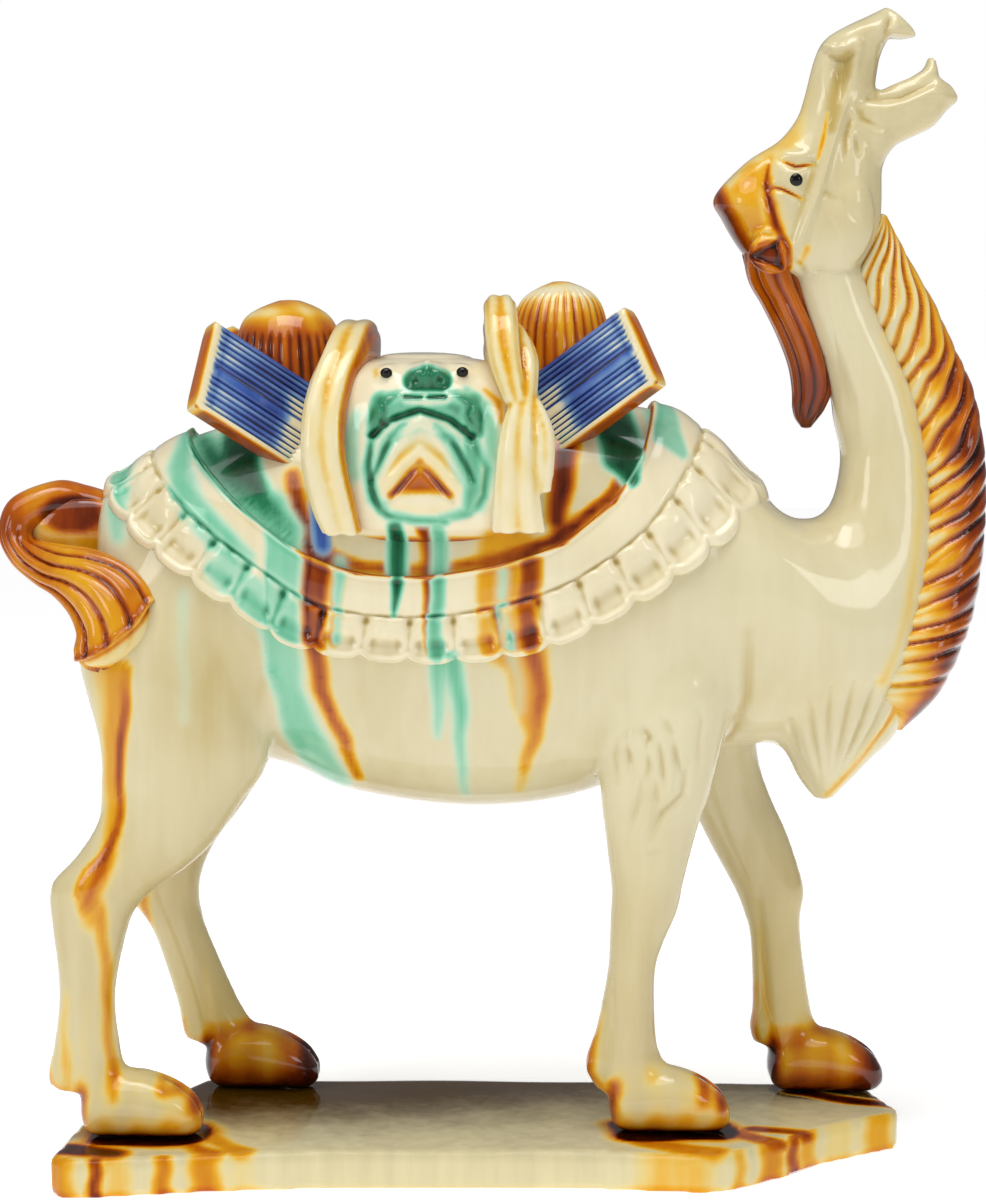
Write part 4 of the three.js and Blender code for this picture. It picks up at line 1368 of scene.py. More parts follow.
    def _soft(self, clay: Clay) -> Array:
        """Where inner corners are filled: everywhere but between the lips and in the ears."""
        x, _, z = clay.points.T
        return 1.0 - ease(150, 154, x) * ease(416, 420, z)

    def _hollow_ears(self, clay: Clay) -> None:
        """Sinks the shell of each ear."""
        y = clay.points[:, 1]
        clay.points[:, 1] -= np.sign(y) * 3.4 * self._shell(clay) * ease(11, 15, np.abs(y))

    def _shell(self, clay: Clay) -> Array:
        """Finds the three-cornered shell of the ears.

        Args:
            clay: The modelled head.

        Returns:
            1 in a shell and 0 outside it, for each point.
        """
        x, _, z = clay.points.T
        reach = np.maximum.reduce([
            (z - self.ear[2]) * 0.9 - (x - self.ear[0]) * 0.42,
            (x - self.ear[0]) * 0.95 + (z - self.ear[2]) * 0.2,
            -(z - self.ear[2]) * 0.88 - (x - self.ear[0]) * 0.3,
        ])
        return ease(5.2, 2.6, reach)

    def _glaze(self, clay: Clay) -> Paint:
        """Works out the glazes on the head.

        Args:
            clay: The modelled head.

        Returns:
            Thickness of each glaze, and the painted shade.
        """
        paint = bare(len(clay.points))
        x, y, z = clay.points.T
        beside = np.abs(y)
        ear = 0.58 * ease(9.0, 6.4, np.hypot((x - 108.2) / 1.1, z - 357.4)) * ease(10, 12, beside)
        inner = 0.80 * self._shell(clay) * ease(9, 11, beside)
        paint[AMBER] = np.maximum.reduce([thickest(self.ambers, x, z), ear, inner])
        # Painted shade: in the muzzle's recess and mouth, and a light darkening over the upper head.
        paint[HOLLOW] = np.maximum(thickest(self.recess_shade, x, z), 0.22 * ease(352, 372, z))
        line = sum(lid.lift(clay.points) for lid in self.lids)
        brush(paint, AMBER, 0.6 * line)
        around = ease(5.8, 4.4, np.hypot((x - 117.0) * 0.8, z - 388.0))
        paint[AMBER] *= 1.0 - 0.9 * around * (1 - np.clip(line * 2, 0, 1))
        deepen(paint, clay.hollow(), gain=0.2, limit=0.5, thinning=0.4)
        return paint


@dataclass(frozen=True)
class Mane:
    """The long mane down the front of the neck, in slanting locks."""

    rows: Rows = (
        (153, 375, 156.5, 374, 4), (143, 357, 165.5, 357, 10), (144.5, 342, 174.5, 342, 12),
        (153, 324, 183.5, 323, 13), (160, 308, 190.5, 308, 14), (164, 292, 194.5, 292, 15),
        (166.5, 274, 196.5, 274, 17), (166, 256, 196.5, 254, 20), (163, 238, 195, 237, 24),
        (157, 218, 192, 218, 27), (150, 202, 186.5, 201.5, 28), (146, 188, 180, 187.5, 25),
        (154, 177, 172, 177.5, 16), (161, 170.5, 165, 170.5, 6),
    )
    locks: float = 25.0
    depth: float = 2.4
    strand_depth: float = 0.5

    def build(self, finish: Finish) -> None:
        """Models and glazes the mane."""
        clay = Loft(self.rows, square=2.3, bulge=(1, 1), sides=140, steps=310).clay(self._relief)
        fire(clay, "mane", finish, self._glaze(clay))

    def _phase(self, along: Array, outer: Array) -> Array:
        """Counts the locks passed on the way down.

        Args:
            along: Share of the way down the mane.
            outer: Share of the way from the neck to the front edge.

        Returns:
            The count, with its fraction.
        """
        steep = np.interp(along, (0.0, 0.16, 0.3, 0.5, 0.7, 0.85, 1.0), (6.5, 5.6, 4.2, 3.2, 1.9, 1.0, -0.8))
        sway = 0.22 * np.sin(along * 23.0) + 0.1 * np.sin(along * 61.0 + outer * 2)
        return self.locks * along + steep * outer**1.15 + sway

    def _relief(self, points: Array, along: Array, angle: Array) -> Array:
        """Shapes the locks of the mane.

        Args:
            points: Points of the plain skin; not used.
            along: Share of the way along it.
            angle: Angle round it.

        Returns:
            A height for each point.
        """
        outer = (1 + np.cos(angle)) / 2
        phase = self._phase(along, outer)
        lock = np.abs(np.sin(math.pi * phase)) ** 0.55
        strand = np.abs(np.sin(math.pi * (phase * 2 + 0.3)))
        fade = ease(0.0, 0.05, along) * ease(1.0, 0.93, along) * ease(0.0, 0.14, outer)
        tip = 1.0 - 0.75 * ease(0.8, 1.0, outer)
        return ((lock - 0.75) * self.depth + (strand - 0.6) * self.strand_depth) * fade * tip

    def _glaze(self, clay: Clay) -> Paint:
        """Works out the glazes on the mane.

        Args:
            clay: The modelled piece.

        Returns:
            Thickness of each glaze.
        """
        paint = bare(len(clay.points))
        x, _, z = clay.points.T
        edge = np.interp(z, *np.array([(row[3], row[2]) for row in reversed(self.rows)]).T)
        root = np.interp(z, *np.array([(row[1], row[0]) for row in reversed(self.rows)]).T)
        outer = np.clip((x - root) / np.maximum(edge - root, 1), 0, 1)
        low = ease(345, 285, z)
        base = 0.22 + 0.12 * low + (0.14 + 0.32 * low) * ease(0.25, 0.85, outer)
        base += 0.07 * np.sin(z * 0.23 + x * 0.1) * low
        fringe = ease(214, 186, z)
        paint[AMBER] = base * (1 - 0.35 * fringe * ease(0.9, 0.5, outer))
        deepen(paint, clay.hollow(5), gain=0.36, limit=0.6)
        return paint


@dataclass(frozen=True)
class NapeTuft:
    """The long tuft that hangs behind the head, with thick combed ridges."""

    rows: Rows = (
        (99, 363, 120, 365, 14), (101.5, 349.5, 121.3, 352.7, 13), (107, 339.6, 125.3, 341.6, 12),
        (113, 327.7, 130.6, 329.7, 11), (117.6, 315.8, 134.3, 317.8, 10), (119.3, 306, 135.2, 306.7, 8.5),
        (119.6, 298.7, 132.3, 298.7, 7), (120.6, 294.4, 129.6, 294.4, 5), (122.6, 291.6, 127.4, 291.6, 2.6),
    )
    ridges: int = 8
    depth: float = 1.7

    def build(self, finish: Finish) -> None:
        """Models and glazes the tuft.

        Args:
            finish: The material.
        """
        clay = Loft(self.rows, bulge=(0, 1), sides=96, steps=90).clay(self._relief)
        paint = bare(len(clay.points))
        z = clay.points[:, 2]
        paint[AMBER] = 0.64 + 0.12 * ease(345, 305, z) + 0.08 * ease(304, 296, z)
        deepen(paint, clay.hollow(5), gain=0.24, limit=0.5)
        fire(clay, "nape_tuft", finish, paint)

    def _relief(self, points: Array, along: Array, angle: Array) -> Array:
        """Height of the ridges over the plain tuft."""
        ridge = np.abs(np.sin(self.ridges * (angle + 0.03 * np.sin(along * 6)) / 2)) ** 0.5
        return (ridge - 0.8) * self.depth * ease(0.0, 0.12, along) * ease(1.0, 0.9, along)


@dataclass(frozen=True)
class Tail:
    """The tail: a smooth root that loops over, then locks that sweep down and curl onto the near haunch."""

    rows: Rows = (
        (-142, 246, -150, 264, 9), (-158, 250, -162, 268, 8.5, -2), (-172, 253, -174, 270, 8, -6),
        (-181, 251, -191, 263, 8, -10), (-181.5, 247.5, -195.5, 250, 8, -13),
        (-177, 246, -190, 239, 8.5, -18), (-168, 245, -180, 231, 9.5, -24),
        (-155, 243.5, -171, 226, 10.5, -31), (-142, 238.5, -164, 219, 11, -37),
        (-133, 230, -161, 211.5, 11, -41), (-129, 219.5, -161.5, 205, 10, -43.5),
        (-131, 210.5, -160, 201.5, 9, -44), (-137.5, 203.5, -157, 198.5, 7, -44),
        (-144, 199.5, -151.5, 197, 4, -43.5),
    )
    web: Triple = (-162, -11, 250)
    web_radii: Triple = (21, 5, 13)
    root: Triple = (-150, -34, 219)
    root_radii: Triple = (11, 8, 15)
    strands: int = 10
    depth: float = 2.6
    leaf: Places = ((-160.4, 202.4), (-153, 205), (-146.9, 208.6), (-141, 213), (-136, 218), (-132.2, 224.6))

    def build(self, finish: Finish) -> None:
        """Models and glazes the tail.

        Args:
            finish: The material.
        """
        form = bmesh.new()
        Loft(self.rows, bulge=(0, 1), sides=130, steps=230).skin(form, self._relief)
        add_ball(form, self.web, self.web_radii)
        add_ball(form, self.root, self.root_radii, -20)
        clay = Clay(form)
        fire(clay, "tail", finish, self._glaze(clay))

    def _glaze(self, clay: Clay) -> Paint:
        """Works out the glazes on the tail.

        Args:
            clay: The modelled piece.

        Returns:
            Thickness of each glaze.
        """
        x, y, z = clay.points.T
        gap, _ = path_distance(x, z, self.leaf)
        below = z < np.interp(x, *np.array(self.leaf).T) - 0.4
        tip = below & (x > -163) & (z < 224)
        paint = bare(len(clay.points))
        base = 0.50 + 0.06 * np.sin(x * 0.2 + z * 0.13) + 0.12 * ease(-183, -195, x)
        base += 0.40 * ease(1.3, 0.8, np.hypot((x + 166) / 12, (z - 257) / 7)) * (y > -24)
        locks = base + 0.3 * bell(gap, 1.2) * ease(230, 222, z)
        paint[AMBER] = np.where(tip, 0.2 + 0.5 * bell(gap, 1.6), locks)
        paint[AMBER] += 0.5 * ease(201, 197.5, z)
        deepen(paint, clay.hollow(5), gain=0.36, limit=0.6)
        return paint

    def _relief(self, points: Array, along: Array, angle: Array) -> Array:
        """Shapes the locks of the tail.

        Args:
            points: Points of the plain skin.
            along: Share of the way along it.
            angle: Angle round it.

        Returns:
            A height for each point.
        """
        sway = 0.14 * np.sin(along * 9.0) + 0.05 * np.sin(along * 23.0 + angle)
        strand = np.abs(np.sin(self.strands * (angle + sway) / 2)) ** 0.55
        grown = 0.04 + 0.96 * ease(0.34, 0.5, along)
        locks = (strand - 0.78) * self.depth * grown * ease(0.0, 0.05, along) * ease(1.0, 0.9, along)
        x, y, z = points[..., 0], points[..., 1], points[..., 2]
        gap, _ = path_distance(x, z, self.leaf)
        below = (z < np.interp(x, *np.array(self.leaf).T)) & (along > 0.6)
        curl = 1.3 * bell(gap, 1.3) - 1.6 * below * ease(0.4, 2, gap)
        return locks * np.where(below, 0.25, 1.0) + (y < -44) * curl


@dataclass(frozen=True)
class SaddleCloth:
    """The cloth round the load: a smooth band with a raised rim, and a ruffle of petals below it."""

    rim: Places = (
        (-121, 292), (-115, 281), (-98, 263), (-76, 246), (-52, 237), (-27, 235.5), (2, 240), (26, 248),
        (46, 264), (57, 281), (62, 299),
    )
    edge: Places = (
        (-157, 272), (-147, 259), (-131, 244), (-98, 222), (-72, 208), (-24, 203), (19, 208), (55, 225),
        (80, 242), (104, 262), (116, 278),
    )
    stations: int = 900
    across: int = 58
    under: int = 6
    petals: int = 38
    proud: float = 2.6
    sink: float = -1.6
    band: float = 0.45
    rounding: float = 0.05
    softening: int = 12

    def build(self, finish: Finish, runs: Runs) -> None:
        """Models and glazes the cloth.

        Args:
            finish: The material.
            runs: The runs of glaze over the flanks.
        """
        rim, edge = self._loop(self.rim), self._loop(self.edge)
        station = np.arange(self.stations) / self.stations
        over = np.linspace(0, 1, self.across)
        back = np.linspace(1, 0, self.under + 2)[1:-1]
        t = np.concatenate([over, back])
        height = self._height(station[:, None], over[None, :])
        sunk = np.full((self.stations, len(back)), self.sink)
        height = np.concatenate([height, sunk], axis=1)
        petal = self._petal(station)[:, None]
        reach = t[None, :] * (1 + 0.07 * (1 - np.abs(petal) ** 3) * ease(0.7, 1.0, t[None, :]))
        x = rim[:, 0, None] + (edge[:, 0] - rim[:, 0])[:, None] * reach
        angle = rim[:, 1, None] + (edge[:, 1] - rim[:, 1])[:, None] * reach
        form = bmesh.new()
        roll_grid(form, torso_point(x, angle, height), ring_closed=True)
        clay = Clay(form)
        paint = bare(len(clay.points))
        runs.lay(clay.points, paint)
        gap, _ = path_distance(clay.points[:, 0], clay.points[:, 2], self.rim)
        lip = ease(2.2, 1.0, gap)
        green_share = ease(-70, -82, clay.points[:, 0])
        brush(paint, GREEN, 0.96 * lip * green_share)
        brush(paint, AMBER, 0.96 * lip * (1 - green_share))
        deepen(paint, clay.hollow(4), gain=0.35, limit=0.5)
        fire(clay, "saddle_cloth", finish, paint)

    def _loop(self, side: Places) -> Array:
        """Lays a line down the near side right round the torso.

        Args:
            side: The line, in the side view.

        Returns:
            A closed loop of (x, angle round the torso), one a station.
        """
        line = even_line(side, DENSE)
        low, high, _ = torso_row(line[:, 0])
        c = np.clip((2 * line[:, 1] - low - high) / (high - low), -1, 1)
        angle = -np.arccos(np.sign(c) * np.abs(c) ** (TORSO_SQUARE / 2))
        kept = np.flatnonzero(angle < -0.05)
        near = np.stack([line[kept, 0], angle[kept]], axis=1)
        near = np.vstack([[near[0, 0] + 1.0, 0.0], near, [near[-1, 0] + 0.5, 0.0]])
        loop = np.vstack([near[:-1], (near * (1, -1))[::-1][:-1]])
        closed = np.vstack([loop, loop[:1]])
        run = run_length(torso_point(closed[:, 0], closed[:, 1], np.zeros(len(closed))))
        wanted = np.linspace(0, run[-1], self.stations + 1)[:-1]
        even = np.stack([np.interp(wanted, run, column) for column in closed.T], axis=1)
        for _ in range(self.softening):
            even = (np.roll(even, 1, axis=0) + even * 2 + np.roll(even, -1, axis=0)) / 4
        return even

    def _petal(self, station: Array) -> Array:
        """Place across a petal, from -1 to 1."""
        return 2 * (station * self.petals % 1) - 1

    def _height(self, station: Array, t: Array) -> Array:
        """Shapes the cloth over the torso.

        Args:
            station: Share of the way round the loop.
            t: Share of the way from rim to edge.

        Returns:
            A height for each point.
        """
        p = np.abs(self._petal(station))
        inset = np.clip(np.minimum(t, 1 - t) / self.rounding, 0, 1)
        edge = np.sqrt(1 - (1 - inset) ** 2)
        band = 0.5 * np.sin(np.clip(t / self.band, 0, 1) * math.pi) + 0.9 * bell(t - 0.05, 0.035)
        line = -1.1 * bell(t - self.band - 0.02, 0.02)
        skirt = ease(self.band, self.band + 0.08, t)
        tongue = skirt * (2.1 * (1 - p**3) - 1.0) * ease(1.02, 0.8, t)
        almond = -2.6 * bell((t - 0.80) / (1.2 - 0.5 * p**2), 0.08) * ease(0.92, 0.5, p)
        bead = (1.5 - 0.5 * p**4) * bell(t - 0.95 + 0.03 * p**4, 0.034)
        dimple = -1.7 * bell(1 - p, 0.22) * bell(t - self.band - 0.09, 0.06)
        tooth = -0.8 * bell(p, 0.25) * bell(t - self.band - 0.06, 0.04)
        relief = band + line + tongue + almond + bead + dimple + tooth
        return self.sink + edge * (self.proud - self.sink + relief)


@dataclass(frozen=True)
class Bags:
    """The cushion-like bag over the back, with the mask of a beast on each side."""

    rows: Rows = (
        (-58, 246, 8, 246, 46), (-68, 254, 18, 254, 56), (-73, 266, 23, 266, 59.5),
        (-73, 281, 23, 281, 60.5), (-71, 297, 21, 297, 59.5), (-66, 309, 16, 309, 55),
        (-57, 315.5, 7, 315.5, 48), (-45, 318.4, -8, 318.4, 38),
    )
    square: float = 3.4
    eyes: Places = ((-40.4, 312.3), (-11.6, 312.6))
    eye_radii: Triple = (2.3, 2.0, 2.0)
    raised: Marks = (
        Swell((-25.5, 303), (28, 20), 3),
        Swell((-24.8, 310.5), (10.5, 7.5), 4),
        Swell((-29.6, 308.6), (4.6, 4.2), 2.2),
        Swell((-20, 308.8), (4.6, 4.2), 2.2),
        Stroke(((-24.8, 315.6), (-24.8, 307.5)), 1.6, 1.4),
        Swell((-40.4, 312.3), (6, 5.5), 1.6),
        Swell((-11.6, 312.6), (6, 5.5), 1.6),
        Stroke(((-34.5, 302), (-25, 301), (-13.5, 302)), 2.4, 2, False),
        Swell((-40.2, 300.2), (7.5, 6), 2.6, 20),
        Swell((-9.8, 300), (7.5, 6), 2.6, -20),
        Swell((-41.4, 294.5), (6, 6), 2.4),
        Swell((-9.2, 294), (6, 6), 2.4),
        Stroke(((-46, 289), (-39, 294.6), (-27.5, 298.4), (-16, 294.6), (-8, 288.6)), 1.5, -2.6, False),
        Stroke(((-45.5, 288), (-47.4, 279), (-46.4, 268), (-43, 260), (-36, 256)), 1.6, -1.6),
        Stroke(((-7, 287), (-2, 276), (-3, 266), (-8, 258.6), (-18, 255.6)), 1.8, -1.6),
        Stroke(((-45, 284), (-36, 290), (-27.5, 293.4), (-18, 290), (-9, 283)), 1.6, 1.4),
        Stroke(((-33, 293), (-39, 288), (-46, 272)), 1.4, -1.7),
        Stroke(((-22, 292.5), (-15.6, 288), (-7.4, 272)), 1.4, -1.7),
        Stroke(((-31.6, 289), (-37, 283), (-44, 270)), 1.7, 1.2),
        Stroke(((-23.4, 289), (-17.5, 283), (-9.5, 270)), 1.7, 1.2),
        Stroke(((-41.5, 269.5), (-34, 277.5), (-27.6, 283)), 2.2, 2.2),
        Stroke(((-27.6, 283), (-21, 277.5), (-13.7, 269.5)), 2.2, 2.2),
        Stroke(((-40, 264), (-33, 272.5), (-27.6, 278.4)), 1.5, -1.6),
        Stroke(((-27.6, 278.4), (-22, 272.5), (-15, 264)), 1.5, -1.6),
        Swell((-27, 263), (12, 7), 1.6),
    )
    cuts: Marks = (
        Swell((-29.6, 309.8), (2.4, 1.9), -2),
        Swell((-19.9, 310.2), (2.4, 1.9), -2),
        Stroke(((-33.9, 303.8), (-26.6, 303.4)), 0.9, -1.5, False),
        Stroke(((-24.6, 303.4), (-18.2, 303.8)), 0.9, -1.5, False),
        Stroke(((-25, 315), (-25, 308)), 1.2, 0.8),
        Stroke(((-42.5, 301.5), (-40.5, 297.5), (-42.5, 294), (-39, 292)), 1.1, -1.2),
        Stroke(((-7.6, 301), (-9.6, 297), (-7.6, 293.5), (-11, 291.5)), 1.1, -1.2),
    )
    glazes: Drips = (
        Drip(GREEN, 0.56, ((-41, 297, 5), (-27, 300.6, 4), (-9, 297, 5)), 3),
        Drip(GREEN, 0.2, ((-38, 288, 4), (-27, 294, 4), (-14, 288, 5)), 5),
        Drip(GREEN, 0.8, ((-29.6, 309.4, 4.4), (-24.8, 310.4, 5.2), (-20, 309.4, 4.4)), 1.6),
        Drip(GREEN, 0.34, ((-41, 301.5, 3), (-34, 303.5, 3)), 3),
        Drip(GREEN, 0.34, ((-8, 301.5, 3), (-16, 303.5, 3)), 3),
        Drip(GREEN, 0.7, ((-36, 304, 1.4), (-42, 301, 4), (-43, 295, 4.6), (-45, 290, 3)), 2.4),
        Drip(GREEN, 0.7, ((-14, 304, 1.4), (-8, 301, 4), (-7.4, 295, 4.6), (-6, 290, 3)), 2.4),
        Drip(GREEN, 0.66, ((-46, 289, 2.2), (-38, 296, 2.2), (-27.5, 298.6, 2), (-17, 296, 2.2),
             (-7.5, 288.6, 2.2)), 2),
        Drip(GREEN, 0.42, ((-10, 306, 1), (-3, 300, 2), (-0.6, 290, 3), (-1.5, 276, 3.4),
             (-5, 262, 3)), 3.4),
        Drip(GREEN, 0.6, ((-8, 288, 3.4), (-8, 278, 4), (-7.4, 268, 3.4), (-10, 260, 2),
             (-20, 257, 1.4)), 3),
        Drip(GREEN, 0.64, ((-46, 287, 1.6), (-47.4, 276, 2.4), (-45.4, 265, 2.6), (-40, 258.6, 2),
             (-30, 256.6, 1.6), (-18, 256, 1.6)), 3),
        Drip(GREEN, 0.5, ((-34, 293, 2), (-40, 286, 3), (-46, 272, 2)), 4),
        Drip(GREEN, 0.5, ((-21, 292, 2), (-15, 286, 3.4), (-9, 272, 3)), 4),
        Drip(AMBER, 0.17, ((-41, 270, 4), (-34, 280, 4.6), (-27.6, 286, 3), (-21, 280, 4.6),
             (-14, 270, 4)), 5),
        Drip(GREEN, 0.34, ((-52, 296, 3), (-55, 286, 5), (-52, 274, 4)), 5),
        Drip(AMBER, 0.3, ((-40, 268, 1.6), (-34, 275, 2.4), (-27.6, 280, 2.4), (-21, 275, 2.4),
             (-15, 268, 1.6)), 5),
        Drip(AMBER, 0.62, ((-39, 266.6, 1), (-32, 270, 3), (-27.6, 271.6, 5), (-23, 270, 3),
             (-16, 266.6, 1)), 3),
        Drip(AMBER, 0.14, ((-38, 260.6, 3), (-16, 260.2, 3)), 4),
        Drip(AMBER, 0.4, ((-46, 316, 0.8), (-44, 312, 1.2)), 2.4),
        Drip(AMBER, 0.5, ((-3, 306, 0.6), (2, 301, 1.6), (3, 294, 1)), 2.4),
    )
    lip: Drip = Drip(GREEN, 1, ((-32, 302.4, 2), (-25, 302, 2.4), (-18, 302.4, 2)), 1.2)
    lip_glaze: float = 0.16
    dashes: Drips = (
        Drip(GREEN, 1, ((-33, 303.2, 0.9), (-27.2, 303.2, 0.9)), 0.8),
        Drip(GREEN, 1, ((-24.2, 303.2, 0.9), (-18, 303.2, 0.9)), 0.8),
    )

    def build(self, finish: Finish, eye_finish: Finish, runs: Runs) -> None:
        """Models and glazes the bag and the eyes of its masks.

        Args:
            finish: The material of the bag.
            eye_finish: The material of the masks' eyes.
            runs: The runs of glaze over the flanks.
        """
        clay = Loft(self.rows, square=self.square, bulge=(1, 3), sides=500, steps=112).clay()
        side = facing(clay, 0.25, 0.6) * ease(24, 32, np.abs(clay.points[:, 1]))
        clay.lift(self.raised, side)
        clay.lift(self.cuts, side)
        clay.smooth(1)
        fire(clay, "bags", finish, self._glaze(clay, side, runs))
        depth = np.abs(clay.points[:, 1])
        for side_name, way in (("near", -1), ("far", 1)):
            for number, (x, z) in enumerate(self.eyes, 1):
                there = np.hypot(clay.points[:, 0] - x, clay.points[:, 2] - z) < 3
                middle = (x, way * (depth[there].max() - 1.0), z)
                fire_eye(f"{side_name}_mask_eye_{number}", middle, self.eye_radii, eye_finish)

    def _glaze(self, clay: Clay, side: Array, runs: Runs) -> Paint:
        """Works out the glazes on the bag.

        Args:
            clay: The modelled bag.
            side: How far each point lies on a flat side.
            runs: The runs of glaze over the flanks.

        Returns:
            Thickness of each glaze.
        """
        paint = bare(len(clay.points))
        x, _, z = clay.points.T
        for drip in self.glazes:
            brush(paint, drip.glaze, drip.amount(x, z) * side)
        paint[GREEN] += (self.lip_glaze - paint[GREEN]) * 0.8 * self.lip.amount(x, z)
        for dash in self.dashes:
            brush(paint, GREEN, dash.amount(x, z) * side)
        lower = ease(262, 252, z)
        own = bare(len(clay.points))
        runs.lay(clay.points, own)
        for glaze in COLOURS:
            brush(paint, glaze, own[glaze] * lower)
        brush(paint, AMBER, 0.85 * ease(252, 247, z))
        deepen(paint, clay.hollow(5), gain=0.34, limit=0.5, thinning=0.2)
        return paint


@dataclass(frozen=True)
class Board:
    """A ridged board on a slant, with a rounded rim at its outer end and along its foot."""

    name: str
    corner: Triple
    along: Triple
    down: Triple
    length: float
    width: float
    thickness: float = 11.0
    ridges: int = 14
    ridge_depth: float = 1.5
    rim: float = 2.8

    def build(self, finish: Finish, way: int) -> None:
        """Models and glazes the board.

        Args:
            finish: The material.
            way: -1 for the near side, 1 for the far side.
        """
        half = self.thickness / 2
        rows = tuple((a, 0.0, a, self.width, half, -half) for a in np.linspace(0, self.length, 5))
        clay = Loft(rows, square=7, bulge=(1.4, 1.4), sides=300, steps=30).clay(self._relief)
        paint = self._glaze(clay)
        clay.points = clay.points @ self._axes() + np.array(self.corner)
        clay.points[:, 1] *= -way
        if way > 0:
            clay.mesh.flip_normals()
        side_name = "near" if way < 0 else "far"
        fire(clay, f"{side_name}_{self.name}", finish, paint)

    def _axes(self) -> Array:
        """Works out which way the board lies.

        Returns:
            Directions along the ridges, out of the face and down the end.
        """
        along = np.array(self.along) / np.linalg.norm(self.along)
        down = np.array(self.down) / np.linalg.norm(self.down)
        out = np.cross(along, down)
        out = out / np.linalg.norm(out) * (1 if out[1] < 0 else -1)
        return np.array([along, out, down])

    def _relief(self, points: Array, along: Array, angle: Array) -> Array:
        """Shapes the ridges and rims of the face.

        Args:
            points: Points of the plain skin.
            along: Share of the way along it; not used.
            angle: Angle round it; not used.

        Returns:
            A height for each point.
        """
        a, out, d = points[..., 0], points[..., 1], points[..., 2]
        face = ease(-1.6, -0.2, out)
        foot = self.width - self.rim
        inside = ease(self.rim - 0.6, self.rim + 0.6, a) * ease(foot + 0.6, foot, d)
        place = d / foot * self.ridges
        rod = np.abs(np.sin(math.pi * place)) ** 0.7
        ridge = (rod - 1.0) * self.ridge_depth * inside
        raised = 0.9 * (1 - inside)
        return (ridge + raised) * face * ease(-0.5, 1.5, a) * ease(self.length + 0.5, self.length - 1.5, a)

    def _glaze(self, clay: Clay) -> Paint:
        """Works out the glazes on the board.

        Args:
            clay: The modelled piece.

        Returns:
            Thickness of each glaze.
        """
        paint = bare(len(clay.points))
        a, out, d = clay.points.T
        face = ease(-2.6, -1.2, out)
        foot = self.width - self.rim
        inside = ease(self.rim - 0.3, self.rim + 1.2, a) * ease(foot + 0.5, foot - 0.8, d)
        field_share = face * inside
        streak = 0.10 * np.sin(d * 0.9 + a * 0.05) + 0.06 * np.sin(a * 0.21 + d * 0.3)
        paint[BLUE] = field_share * (0.36 + 0.30 * ease(4, 26, a) + streak)
        green_end = ease(14, 5, a) + 0.8 * ease(self.width - 10, self.width - 4, d)
        paint[GREEN] = 0.26 * field_share * np.clip(green_end, 0, 1)
        crest = np.abs(np.sin(math.pi * d / foot * self.ridges))
        # Painted highlight: the blue is left off the ridge crests near the inner end, so pale clay shows
        # there as white glints.
        paint[BLUE] *= 1 - ease(32, 42, a) * ease(6, 13, d) * ease(0.15, 0.6, crest)
        crown = face * (1 - inside)
        ends = 0.10 + 0.55 * ease(1.4, 0.2, a) + 0.5 * ease(-1.4, -0.2, d - self.width)
        paint[AMBER] = 0.66 * (1 - face) + crown * ends
        deepen(paint, clay.hollow(3), gain=0.5, limit=0.35)
        return paint


BOARDS = (
    Board("rear_board", (-106, -38, 332.7), (0.792, 0.3, -0.529), (-0.186, -0.35, -0.918), 56, 36),
    Board("front_board", (49.5, -37, 338), (-0.763, 0.3, -0.572), (0.367, -0.35, -0.862), 52, 34),
)


